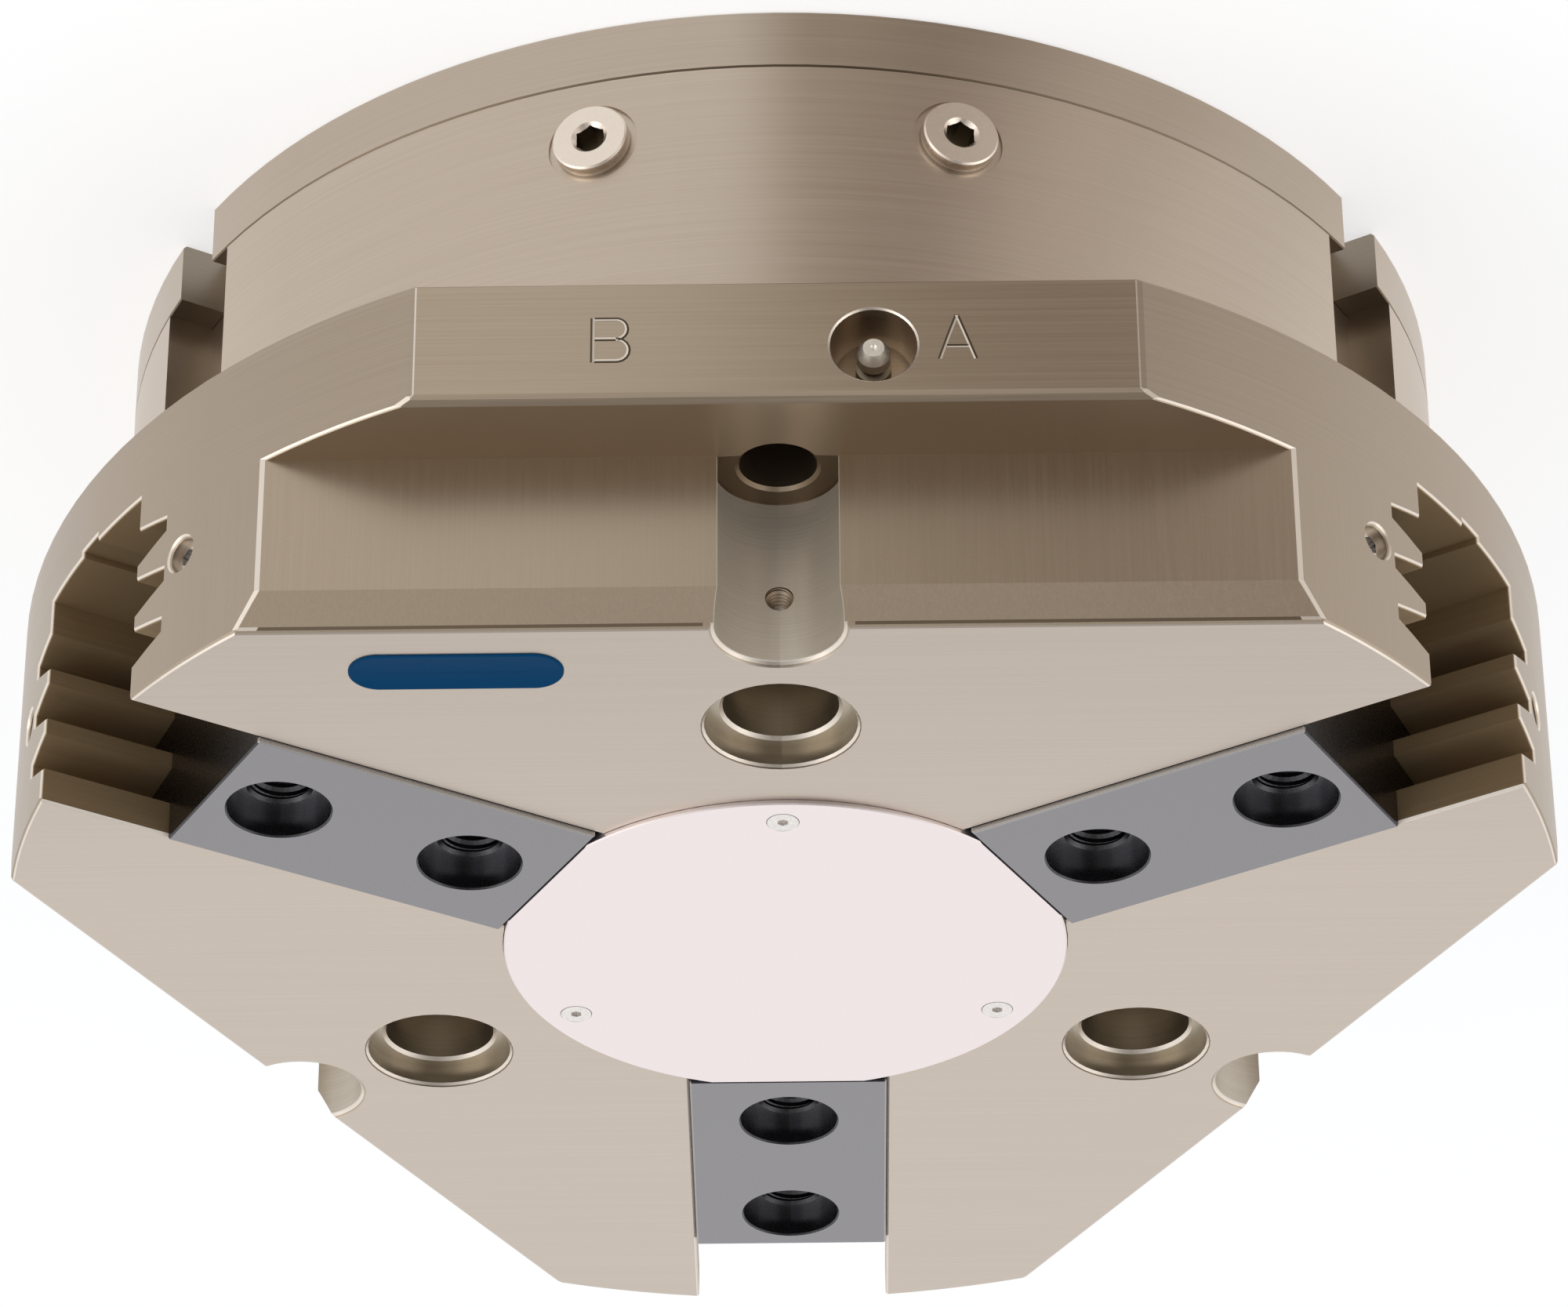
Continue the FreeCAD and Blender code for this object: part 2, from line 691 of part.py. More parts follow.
def reach(point):
    """Distance from the gripper's axis."""
    return (point.x ** 2 + point.y ** 2) ** 0.5


def break_housing_edges(body):
    """Chamfers on the face's straight edges, the openings in the round skin and the outer flats."""
    face = number(FACE)
    skin = number(size("body_radius"))
    flat = number(size("outer_flat"))
    rims = (number(f"{SHOULDER} + {size('edge_break')}"), number(f"{FACE} - {size('edge_break')}"))

    def face_line(shape, edge):
        return isinstance(edge.Curve, Part.Line) and lies_level(edge, face)

    def skin_edge(shape, edge):
        around_skin = all(same(reach(end.Point), skin) for end in edge.Vertexes)
        if not around_skin or not same(reach(middle(edge)), skin):
            return False
        if any(lies_level(edge, rim) for rim in rims) or isinstance(edge.Curve, Part.BSplineCurve):
            return False
        return len(shape.ancestorsOfType(edge, Part.Face)) == 2

    def flat_line(shape, edge):
        level = same(edge.Vertexes[0].Point.z, edge.Vertexes[1].Point.z)
        return isinstance(edge.Curve, Part.Line) and level and same(reach(middle(edge)), flat)

    for rule in (face_line, skin_edge, flat_line):
        break_edges(body, size("corner_break"), rule)


def spin_about_axis(body, angle):
    """Turn a finished sub-part about the gripper's own axis."""
    body.Placement = FreeCAD.Placement(FreeCAD.Vector(), FreeCAD.Vector(0, 0, 1), number(angle))
    body.setExpression("Placement.Rotation.Angle", angle)


def stand_out(body, across, level, radius, angle):
    """Lay a sub-part that was made upright along the outward direction at an angle from the front."""
    outward = FreeCAD.Rotation(FreeCAD.Vector(0, 0, 1), FreeCAD.Vector(0, -1, 0))
    swing = FreeCAD.Rotation(FreeCAD.Vector(0, 0, 1), number(angle))
    start = swing.multVec(FreeCAD.Vector(number(across), -number(radius), 0))
    place = FreeCAD.Vector(start.x, start.y, number(level))
    body.Placement = FreeCAD.Placement(place, swing.multiply(outward))


def round_piece(name, corners):
    """A sub-part turned about the gripper's axis from its half section."""
    body = new_body(name)
    turned(body, "Revolution", draw_outline(new_sketch(body, "section", "XZ_Plane"), corners), "V_Axis")
    return body


def ring_section(inner, outer, low, top):
    """Rectangular half section of a ring."""
    return [(inner, low), (outer, low), (outer, top), (inner, top)]


def build_back_cover():
    """Round flange that closes the cylinder and meets the robot."""
    edge = size("edge_break")
    seam = size("seam_break")
    groove = size("bore_seal_section")
    circle = size("bore_seal_circle")
    body = round_piece("back_cover", [
        ("0", size("spigot_depth")),
        (size("spigot_radius"), size("spigot_depth")),
        (size("spigot_radius"), edge),
        (f"{size('spigot_radius')} + {edge}", "0"),
        (size("({drum_radius} - {edge_break})"), "0"),
        (size("drum_radius"), edge),
        (size("drum_radius"), f"{SEAM} - {seam}"),
        (size("({drum_radius} - {seam_break})"), SEAM),
        (f"{circle} + {groove}", SEAM),
        (f"{circle} + {groove}", f"{SEAM} - 2 * {groove}"),
        (f"{circle} - {groove}", f"{SEAM} - 2 * {groove}"),
        (f"{circle} - {groove}", SEAM),
        ("0", SEAM),
    ])
    sketch = draw_outline(new_sketch(body, "flange_notch", "XY_Plane"), notch_corners("flange_notch_width"))
    notch = extrude(body, "Pocket", sketch, SEAM, reverse=True)
    sketch = new_sketch(body, "mount_hole", "XY_Plane")
    draw_circle(sketch, "0", f"-{size('mount_circle')}", size("mount_hole_radius"))
    mount = extrude(body, "Pocket", sketch, SEAM, reverse=True)
    sketch = draw_circle(new_sketch(body, "dowel_hole", "XY_Plane", out=SEAM),
                         *dowel_place(), size("flange_dowel_radius"))
    dowel = extrude(body, "Pocket", sketch, half("flange_dowel_length"))
    around(body, [notch, mount, dowel])

    sketch = new_sketch(body, "screw_sink", "XY_Plane")
    draw_circle(sketch, *flange_screw_place(),
                size("({flange_screw_head_radius} + {flange_screw_clearance})"))
    sink = extrude(body, "Pocket", sketch, size("flange_screw_sink"), reverse=True)
    sketch = new_sketch(body, "screw_hole", "XY_Plane")
    draw_circle(sketch, *flange_screw_place(), size("({flange_screw_radius} + {flange_screw_clearance})"))
    hole = extrude(body, "Pocket", sketch, SEAM, reverse=True)
    around(body, [sink, hole], size("flange_screw_count"))

    ring = size("({base_seal_radius} + {base_seal_section})")
    for port, turn in (("a", "-"), ("b", "")):
        place = port_channel_place(f"{turn}{size('port_angle')}")
        sketch = draw_circle(new_sketch(body, f"channel_{port}", "XY_Plane"), *place, size("channel_radius"))
        extrude(body, "Pocket", sketch, SEAM, reverse=True)
        sketch = draw_circle(new_sketch(body, f"seal_seat_{port}", "XY_Plane"), *place, ring)
        extrude(body, "Pocket", sketch, size("(2 * {base_seal_section})"), reverse=True)


def torus(name, radius, section, across, up, level):
    """A ring of round section lying flat."""
    ring = DOC.addObject("Part::Torus", name)
    ring.Label = name
    ring.setExpression("Radius1", radius)
    ring.setExpression("Radius2", section)
    for axis, place in (("x", across), ("y", up), ("z", level)):
        ring.setExpression(f"Placement.Base.{axis}", place)
    return ring


def build_seals():
    """Round static seals of the cylinder bore and of the two ports in the back face."""
    section = size("bore_seal_section")
    NODES.append(torus("back_cover_seal", size("bore_seal_circle"), section, "0", "0", f"{SEAM} - {section}"))
    rings = []
    for port, turn in (("a", "-"), ("b", "")):
        across, up = port_channel_place(f"{turn}{size('port_angle')}")
        section = size("base_seal_section")
        rings.append(torus(f"ring_{port}", size("base_seal_radius"), section, across, up, section))
    pair = DOC.addObject("Part::Compound", "base_port_seals")
    pair.Label = "base_port_seals"
    pair.Links = rings
    NODES.append(pair)


def build_flange_screws():
    """Socket head screws sunk into the back face."""
    body = new_body("back_cover_screws")
    head_low = size("({flange_screw_sink} - {flange_screw_head_height})")
    corners = [
        ("0", head_low),
        (size("({flange_screw_head_radius} - {hole_break})"), head_low),
        (size("flange_screw_head_radius"), f"{head_low} + {size('hole_break')}"),
        (size("flange_screw_head_radius"), size("flange_screw_sink")),
        (size("flange_screw_radius"), size("flange_screw_sink")),
        (size("flange_screw_radius"), size("({flange_thick} + {flange_screw_grip} - {hole_break})")),
        ("0", size("({flange_thick} + {flange_screw_grip} - {hole_break})")),
    ]
    sketch = new_sketch(body, "screw", "XZ_Plane", across=size("flange_screw_circle"))
    screw = turned(body, "Revolution", draw_outline(sketch, corners), "V_Axis")
    sketch = new_sketch(body, "socket", "XY_Plane", out=head_low)
    draw_hexagon(sketch, size("flange_screw_circle"), "0", size("flange_screw_socket"))
    socket = extrude(body, "Pocket", sketch, half("flange_screw_head_height"), reverse=True)
    around(body, [screw, socket], size("flange_screw_count"))
    spin_about_axis(body, size("flange_screw_angle"))


def build_flange_dowels():
    """Dowels that place the flange on the drum."""
    body = new_body("flange_dowels")
    sketch = new_sketch(body, "dowel", "XY_Plane", out=SEAM)
    draw_circle(sketch, size("flange_screw_circle"), "0", size("flange_dowel_radius"))
    around(body, [extrude(body, "Pad", sketch, size("flange_dowel_length"), both_ways=True)])
    spin_about_axis(body, size("flange_dowel_angle"))


def build_cover():
    """Round cover over the wedge hook, cut flat where the jaws meet it."""
    edge = size("seam_break")
    body = round_piece("front_cover", [
        ("0", COVER_SEAT),
        (size("cover_radius"), COVER_SEAT),
        (size("cover_radius"), f"{COVER_TOP} - {edge}"),
        (size("({cover_radius} - {seam_break})"), COVER_TOP),
        ("0", COVER_TOP),
    ])
    side = size("cover_radius")
    near = size("({jaw_start} - {cover_gap})")
    far = f"{side} + {OVER}"
    sketch = new_sketch(body, "jaw_flat", "XY_Plane", out=COVER_TOP)
    draw_outline(sketch, [(f"-{side}", near), (side, near), (side, far), (f"-{side}", far)])
    flat = extrude(body, "Pocket", sketch, size("cover_thick"))
    hole = size("({cover_screw_radius} + {cover_gap})")
    head = size("({cover_screw_head} + {cover_gap})")
    corners = [
        ("0", f"{COVER_TOP} + {OVER}"),
        (head, f"{COVER_TOP} + {OVER}"),
        (head, COVER_TOP),
        (hole, f"{COVER_TOP} - {size('cover_screw_head')} + {size('cover_screw_radius')}"),
        (hole, f"{COVER_SEAT} - {OVER}"),
        ("0", f"{COVER_SEAT} - {OVER}"),
    ]
    sketch = new_sketch(body, "countersink", "YZ_Plane", across=f"-{size('cover_screw_circle')}")
    around(body, [flat, turned(body, "Groove", draw_outline(sketch, corners), "V_Axis")])

    body = new_body("front_cover_screws")
    shank = size("cover_screw_radius")
    corners = [
        ("0", COVER_TOP),
        (size("cover_screw_head"), COVER_TOP),
        (shank, f"{COVER_TOP} - {size('cover_screw_head')} + {shank}"),
        (shank, f"{COVER_TOP} - {size('cover_screw_length')}"),
        ("0", f"{COVER_TOP} - {size('cover_screw_length')}"),
    ]
    sketch = new_sketch(body, "screw", "YZ_Plane", across=f"-{size('cover_screw_circle')}")
    screw = turned(body, "Revolution", draw_outline(sketch, corners), "V_Axis")
    sketch = new_sketch(body, "socket", "XY_Plane", out=COVER_TOP)
    draw_hexagon(sketch, "0", f"-{size('cover_screw_circle')}", size("cover_screw_socket"))
    around(body, [screw, extrude(body, "Pocket", sketch, size("cover_screw_radius"))])


def build_port_plugs():
    """Collar plugs in the two ports, each on a sealing washer."""
    thread = size("port_thread_radius")
    collar = size("plug_collar_radius")
    top = size("plug_collar_height")
    rim = half("hole_break")
    seat = size("({drum_radius} - {port_spot_depth} + {plug_washer_thick})")
    for port, turn in (("a", "-"), ("b", "")):
        body = round_piece(f"port_plug_{port}", [
            ("0", f"-{size('plug_length')}"),
            (thread, f"-{size('plug_length')}"),
            (thread, "0"),
            (collar, "0"),
            (collar, f"{top} - {rim}"),
            (f"{collar} - {rim}", top),
            (size("plug_socket_mouth"), top),
            (half("plug_socket"), f"{top} - {size('plug_socket_mouth')} + {half('plug_socket')}"),
            ("0", f"{top} - {size('plug_socket_mouth')} + {half('plug_socket')}"),
        ])
        sketch = draw_hexagon(new_sketch(body, "socket", "XY_Plane", out=top), "0", "0", size("plug_socket"))
        extrude(body, "Pocket", sketch, size("plug_socket_depth"))
        stand_out(body, "0", PORT_LEVEL, seat, f"{turn}{size('port_angle')}")

    body = new_body("port_plug_washers")
    level = f"-{size('({drum_radius} - {port_spot_depth})')}"
    outer = f"{level} - {size('plug_washer_thick')}"
    for turn in ("-", ""):
        sketch = new_sketch(body, "washer", "YZ_Plane", up=PORT_LEVEL, turn=f"{turn}{size('port_angle')}")
        draw_outline(sketch, [(outer, thread), (outer, collar), (level, collar), (level, thread)])
        body.Tip = turned(body, "Revolution", sketch, "H_Axis")


def build_nipple():
    """Grease nipple standing in its stepped bore."""
    base = size("nipple_body_height")
    neck = size("({nipple_body_height} + {nipple_neck_height})")
    tip = size("({nipple_floor_depth} - {nipple_inset})")
    slope = size("nipple_shoulder_slope")
    mouth = size("nipple_mouth")
    body = round_piece("grease_nipple", [
        ("0", f"-{size('nipple_thread_length')}"),
        (size("nipple_thread_radius"), f"-{size('nipple_thread_length')}"),
        (size("nipple_thread_radius"), "0"),
        (size("nipple_body_radius"), "0"),
        (size("nipple_body_radius"), base),
        (size("nipple_neck_radius"), f"{base} + {slope} / 2"),
        (size("nipple_neck_radius"), neck),
        (size("nipple_shoulder_radius"), f"{neck} + {slope}"),
        (size("nipple_shoulder_radius"), f"{tip} - {size('nipple_head_height')}"),
        (size("nipple_head_radius"), tip),
        (mouth, tip),
        ("0", f"{tip} - {mouth}"),
    ])
    level = size("({outer_flat} - {nipple_floor_depth})")
    stand_out(body, f"-{size('nipple_offset')}", NIPPLE_LEVEL, level, "0")


def build_side_screws():
    """Set screws with sockets, one each side of every guideway."""
    body = new_body("side_set_screws")
    radius = size("side_screw_radius")
    top = size("({body_radius} - {side_screw_inset})")
    low = size("({body_radius} - {side_screw_inset} - {side_screw_length})")
    screws = []
    for turn in ("-", ""):
        angle = f"{turn}{size('side_screw_angle')}"
        sketch = new_sketch(body, "screw", "YZ_Plane", up=SIDE_SCREW_LEVEL, turn=angle)
        draw_outline(sketch, [(f"-{top}", "0"), (f"-{top}", radius), (f"-{low}", radius), (f"-{low}", "0")])
        screws.append(turned(body, "Revolution", sketch, "H_Axis"))
        sketch = new_sketch(body, "socket", "XZ_Plane", across=f"{top} * sin({angle})",
                            up=SIDE_SCREW_LEVEL, out=f"{top} * cos({angle})", turn=angle)
        draw_hexagon(sketch, "0", "0", size("side_screw_socket"))
        screws.append(extrude(body, "Pocket", sketch, half("side_screw_length")))
    around(body, screws)


def build_rod_guides():
    """Bush and lip seal that carry the rod in the wall over the cylinder."""
    inner = size("({rod_radius} + {seal_gap})")
    round_piece("rod_bush", ring_section(inner, size("({rod_radius} + {bush_wall})"), BUSH_LOW, POCKET_FLOOR))
    outer = size("({rod_radius} + {rod_seal_wall})")
    round_piece("rod_seal", ring_section(inner, outer, ROD_SEAL_LOW, ROD_SEAL_TOP))


PISTON_RADIUS = size("({bore_radius} - {piston_gap})")
GUIDE_LOW = f"({PISTON_LOW} + {size('piston_chamfer')} + {size('edge_break')})"
GUIDE_TOP = f"({GUIDE_LOW} + {size('guide_ring_height')})"
PISTON_SEAL_LOW = f"({GUIDE_TOP} + {size('ring_spacing')})"
PISTON_SEAL_TOP = f"({PISTON_SEAL_LOW} + {size('piston_seal_height')})"
SPIGOT_LOW = f"({PISTON_TOP} - {size('rod_spigot_length')})"
CORE_HOLE = size("({core_screw_radius} + {rod_clearance})")
CORE_SINK = size("({core_head_radius} + {rod_clearance})")


def build_piston():
    """Piston with its seal and guide ring, and the rod on its spigot."""
    guide_floor = f"{PISTON_RADIUS} - {size('guide_ring_wall')}"
    seal_floor = f"{PISTON_RADIUS} - {size('piston_seal_wall')}"
    sink = f"{PISTON_LOW} + {size('core_head_sink')}"
    edge = size("edge_break")
    round_piece("piston", [
        (CORE_HOLE, sink),
        (CORE_SINK, sink),
        (CORE_SINK, PISTON_LOW),
        (f"{PISTON_RADIUS} - {size('piston_chamfer')}", PISTON_LOW),
        (PISTON_RADIUS, f"{PISTON_LOW} + {size('piston_chamfer')}"),
        (PISTON_RADIUS, GUIDE_LOW),
        (guide_floor, GUIDE_LOW),
        (guide_floor, GUIDE_TOP),
        (PISTON_RADIUS, GUIDE_TOP),
        (PISTON_RADIUS, PISTON_SEAL_LOW),
        (seal_floor, PISTON_SEAL_LOW),
        (seal_floor, PISTON_SEAL_TOP),
        (PISTON_RADIUS, PISTON_SEAL_TOP),
        (PISTON_RADIUS, f"{PISTON_TOP} - {edge}"),
        (f"{PISTON_RADIUS} - {edge}", PISTON_TOP),
        (size("rod_spigot_radius"), PISTON_TOP),
        (size("rod_spigot_radius"), SPIGOT_LOW),
        (CORE_HOLE, SPIGOT_LOW),
    ])
    skin = size("({bore_radius} - {seal_gap})")
    round_piece("piston_seal", ring_section(seal_floor, skin, PISTON_SEAL_LOW, PISTON_SEAL_TOP))
    round_piece("piston_guide_ring", ring_section(guide_floor, skin, GUIDE_LOW, GUIDE_TOP))

    thread = size("core_screw_radius")
    edge = size("hole_break")
    low_end = f"{SPIGOT_LOW} + {size('core_screw_grip')}"
    high_end = f"{HOOK_LOW} - {size('core_screw_grip')}"
    body = round_piece("piston_rod", [
        ("0", low_end),
        (thread, low_end),
        (thread, SPIGOT_LOW),
        (size("rod_spigot_radius"), SPIGOT_LOW),
        (size("rod_spigot_radius"), PISTON_TOP),
        (size("rod_radius"), PISTON_TOP),
        (size("rod_radius"), f"{HOOK_LOW} - {edge}"),
        (f"{size('rod_radius')} - {edge}", HOOK_LOW),
        (thread, HOOK_LOW),
        (thread, high_end),
        ("0", high_end),
    ])
    cut_hook_dowel_holes(body, HOOK_LOW, half("hook_dowel_length"), False)


def cut_hook_dowel_holes(body, level, depth, upwards):
    """Two dowel holes each side of the centre."""
    sketch = new_sketch(body, "dowel_holes", "XY_Plane", out=level)
    for side in ("-", ""):
        draw_circle(sketch, f"{side}{size('hook_dowel_circle')}", "0", size("hook_dowel_radius"))
    body.Tip = extrude(body, "Pocket", sketch, depth, reverse=upwards)


def core_screw(name, head_end, under_head, tip, upwards):
    """Socket head screw on the gripper's axis between the given levels."""
    head = size("core_head_radius")
    shank = size("core_screw_radius")
    body = round_piece(name, [
        ("0", head_end),
        (head, head_end),
        (head, under_head),
        (shank, under_head),
        (shank, tip),
        ("0", tip),
    ])
    sketch = new_sketch(body, "socket", "XY_Plane", out=head_end)
    draw_hexagon(sketch, "0", "0", size("core_screw_socket"))
    body.Tip = extrude(body, "Pocket", sketch, half("core_head_height"), reverse=upwards)


def build_core_screws():
    """The screw that holds the rod to the piston and the one that holds the hook to the rod."""
    spare = size("edge_break")
    under = f"({PISTON_LOW} + {size('core_head_sink')})"
    tip = f"{SPIGOT_LOW} + {size('core_screw_grip')} - {spare}"
    core_screw("piston_screw", f"({under} - {size('core_head_height')})", under, tip, True)
    under = f"({HOOK_TOP} - {size('hook_head_sink')})"
    tip = f"{HOOK_LOW} - {size('core_screw_grip')} + {spare}"
    core_screw("hook_screw", f"({under} + {size('core_head_height')})", under, tip, False)


def rail_line(level, shift):
    """Distance of the inclined rail face from the axis at a level, plus a shift outwards."""
    return f"{size('hook_reach')} - ({level} - {HOOK_LOW}) * tan({size('wedge_angle')}) + {shift}"


def inclined_outline(low, top, inner, outer):
    """Slanted strip between two levels, parallel to the rail face."""
    return [
        (rail_line(low, inner), low),
        (rail_line(low, outer), low),
        (rail_line(top, outer), top),
        (rail_line(top, inner), top),
    ]


NECK = size("neck_depth")
RAIL = size("({neck_depth} + {rail_depth})")


def build_wedge_hook():
    """Central wedge with an inclined T rail for each jaw."""
    sink = f"{HOOK_TOP} - {size('hook_head_sink')}"
    edge = size("edge_break")
    body = round_piece("wedge_hook", [
        (CORE_HOLE, HOOK_LOW),
        (size("hook_hub_radius"), HOOK_LOW),
        (size("hook_hub_radius"), f"{HOOK_TOP} - {edge}"),
        (f"{size('hook_hub_radius')} - {edge}", HOOK_TOP),
        (CORE_SINK, HOOK_TOP),
        (CORE_SINK, sink),
        (CORE_HOLE, sink),
    ])
    arm = [
        (CORE_SINK, HOOK_LOW),
        (rail_line(HOOK_LOW, "0"), HOOK_LOW),
        (rail_line(HOOK_TOP, "0"), HOOK_TOP),
        (CORE_SINK, HOOK_TOP),
    ]
    strips = [
        ("arm", arm, "arm_width"),
        ("neck", inclined_outline(HOOK_LOW, HOOK_TOP, f"-{OVER}", NECK), "neck_width"),
        ("rail", inclined_outline(HOOK_LOW, HOOK_TOP, NECK, RAIL), "rail_width"),
    ]
    pads = []
    for name, corners, width in strips:
        sketch = draw_outline(new_sketch(body, name, "YZ_Plane"), corners)
        pads.append(extrude(body, "Pad", sketch, size(width), both_ways=True))
    around(body, pads)
    cut_hook_dowel_holes(body, HOOK_LOW, half("hook_dowel_length"), True)

    pins = new_body("hook_dowels")
    sketch = new_sketch(pins, "dowels", "XY_Plane", out=HOOK_LOW)
    for side in ("-", ""):
        draw_circle(sketch, f"{side}{size('hook_dowel_circle')}", "0", size("hook_dowel_radius"))
    extrude(pins, "Pad", sketch, size("hook_dowel_length"), both_ways=True)


def build_jaw(name, turn):
    """Base jaw: toothed slide, foot with the inclined T slot and two fixing holes for a finger."""
    body = new_body(name)
    gap = size("guide_gap")
    start = size("jaw_start")
    profile = guide_profile(size("slot_width"), f"-{gap}", COVER_TOP, f"({SLOT_FLOOR} + {gap})")
    sketch = draw_outline(new_sketch(body, "slide", "XZ_Plane", out=f"-{start}"), profile)
    extrude(body, "Pad", sketch, size("jaw_length"), reverse=True)

    play = size("rail_gap")
    inside = f"({start} + {OVER})"
    corners = [
        (rail_line(FOOT_LOW, play), FOOT_LOW),
        (size("foot_reach"), FOOT_LOW),
        (size("foot_reach"), f"{SLOT_FLOOR} + {OVER}"),
        (inside, f"{SLOT_FLOOR} + {OVER}"),
        (inside, FOOT_TOP),
        (rail_line(FOOT_TOP, play), FOOT_TOP),
    ]
    sketch = draw_outline(new_sketch(body, "foot", "YZ_Plane"), corners)
    extrude(body, "Pad", sketch, size("foot_width"), both_ways=True)

    low = f"({FOOT_LOW} - {OVER})"
    top = f"({FOOT_TOP} + {OVER})"
    slots = [
        ("neck_slot", inclined_outline(low, top, f"-{OVER}", f"{NECK}"), "neck_width"),
        ("rail_slot", inclined_outline(low, top, f"{NECK} - {play}", f"{RAIL} + {play}"), "rail_width"),
    ]
    for label, corners, width in slots:
        sketch = draw_outline(new_sketch(body, label, "YZ_Plane"), corners)
        extrude(body, "Pocket", sketch, f"{size(width)} + 2 * {play}", both_ways=True)

    sleeve = size("sleeve_radius")
    thread = size("jaw_thread_radius")
    rim = size("hole_break")
    rest = f"{COVER_TOP} - {size('sleeve_depth')}"
    bottom = f"{COVER_TOP} - {size('jaw_thread_depth')}"
    corners = [
        ("0", f"{COVER_TOP} + {OVER}"),
        (f"{sleeve} + {half('hole_break')}", f"{COVER_TOP} + {OVER}"),
        (f"{sleeve} + {half('hole_break')}", COVER_TOP),
        (sleeve, f"{COVER_TOP} - {half('hole_break')}"),
        (sleeve, rest),
        (f"{thread} + {rim}", rest),
        (thread, f"{rest} - {rim}"),
        (thread, bottom),
        ("0", f"{bottom} - {thread} / 2"),
    ]
    for place in ("jaw_hole_near", "jaw_hole_far"):
        sketch = draw_outline(new_sketch(body, place, "YZ_Plane", across=size(place)), corners)
        turned(body, "Groove", sketch, "V_Axis")
    DOC.recompute()
    top = number(COVER_TOP)
    outer_end = number(size("({jaw_start} + {jaw_length})"))

    def top_or_end(shape, edge):
        at_end = all(same(end.Point.y, outer_end) for end in edge.Vertexes)
        return isinstance(edge.Curve, Part.Line) and (at_end or lies_level(edge, top))

    break_edges(body, size("jaw_break"), top_or_end)
    spin_about_axis(body, turn)


build_housing()
build_drum()
build_back_cover()
build_seals()
build_flange_screws()
build_flange_dowels()
build_cover()
build_port_plugs()
build_nipple()
build_side_screws()
build_rod_guides()
build_piston()
build_core_screws()
build_wedge_hook()
for jaw, turn in (("jaw_rear", "0"), ("jaw_left", "120"), ("jaw_right", "240")):
    build_jaw(jaw, turn)

DOC.recompute()
faults = [item.Label for item in DOC.Objects if {"Invalid", "Error"} & set(item.State)]
for body in NODES:
    if body.Shape.isNull() or not body.Shape.isValid():
        faults.append(body.Label)
if faults:
    raise RuntimeError(f"failed objects: {faults}")

os.makedirs("parts", exist_ok=True)
for body in NODES:
    body.Shape.exportStep(f"parts/{body.Label}.step")
    print(body.Label, len(body.Shape.Solids), "solids", round(body.Shape.Volume), "mm3")
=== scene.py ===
# %% [markdown]
# # Three jaw centric gripper
# A lobed body of plated aluminium carries three base jaws in toothed guideways. The solid parts
# come ready made from the frame. This lesson gives them their finishes and adds what is too fine
# for the solids: screw threads, engraved port letters and a small plate. Jaws point up, +Z.

# %% Load the frame
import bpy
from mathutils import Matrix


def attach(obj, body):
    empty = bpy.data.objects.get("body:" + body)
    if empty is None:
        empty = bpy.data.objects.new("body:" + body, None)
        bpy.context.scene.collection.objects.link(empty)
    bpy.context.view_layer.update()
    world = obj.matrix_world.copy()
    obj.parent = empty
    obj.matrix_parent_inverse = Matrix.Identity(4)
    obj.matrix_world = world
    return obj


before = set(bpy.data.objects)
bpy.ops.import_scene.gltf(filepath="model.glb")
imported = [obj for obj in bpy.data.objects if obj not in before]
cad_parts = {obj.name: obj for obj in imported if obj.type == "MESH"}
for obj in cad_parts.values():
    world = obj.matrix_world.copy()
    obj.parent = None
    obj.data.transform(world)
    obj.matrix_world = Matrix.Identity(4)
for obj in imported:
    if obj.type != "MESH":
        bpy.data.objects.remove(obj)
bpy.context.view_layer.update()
print("nodes:", len(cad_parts))

# %% Modules
import math

import bpy
import numpy as np
from mathutils import Matrix, Vector

MM = 0.001
scene = bpy.context.scene

# %% [markdown]
# ## Camera
# The picture was taken with a long lens from in front of the ports and above the jaws, and then
# shown upside down. So this camera looks down at 33 degrees and is rolled by half a turn. Three
# directions and one place say all of that, and they go straight into the camera's matrix.

# %% Camera
EYE = Vector((-0.011019, -1.651895, 1.153668))
TO_RIGHT = Vector((-0.999930, 0.010284, 0.005782))
TO_TOP = Vector((-0.010428, -0.541213, -0.840821))
FOCAL_LENGTH = 147.2

lens = bpy.data.cameras.new("product_camera")
lens.lens = FOCAL_LENGTH
lens.sensor_width = 36.0
lens.clip_start = 0.05
lens.clip_end = 50.0
camera = bpy.data.objects.new("product_camera", lens)
scene.collection.objects.link(camera)
backwards = TO_RIGHT.cross(TO_TOP)
turn = Matrix((TO_RIGHT, TO_TOP, backwards)).transposed()
camera.matrix_world = Matrix.Translation(EYE) @ turn.to_4x4()
scene.camera = camera
print("camera looks along", [round(-part, 3) for part in backwards])

# %% [markdown]
# ## Shader helper
# Every finish below is a small network of nodes. Making a node, setting its switches and
# plugging in its sockets is always the same work, so one helper does it. A socket is given
# either a constant or the output of another node.

# %% Node helper
def add(tree, kind, sockets=None, **switches):
    """One shader node. sockets maps a socket's name or number to a constant or to an output."""
    made = tree.nodes.new("ShaderNode" + kind)
    for switch, value in switches.items():
        setattr(made, switch, value)
    for socket, feed in (sockets or {}).items():
        if isinstance(feed, bpy.types.NodeSocket):
            tree.links.new(feed, made.inputs[socket])
        else:
            made.inputs[socket].default_value = feed
    return made

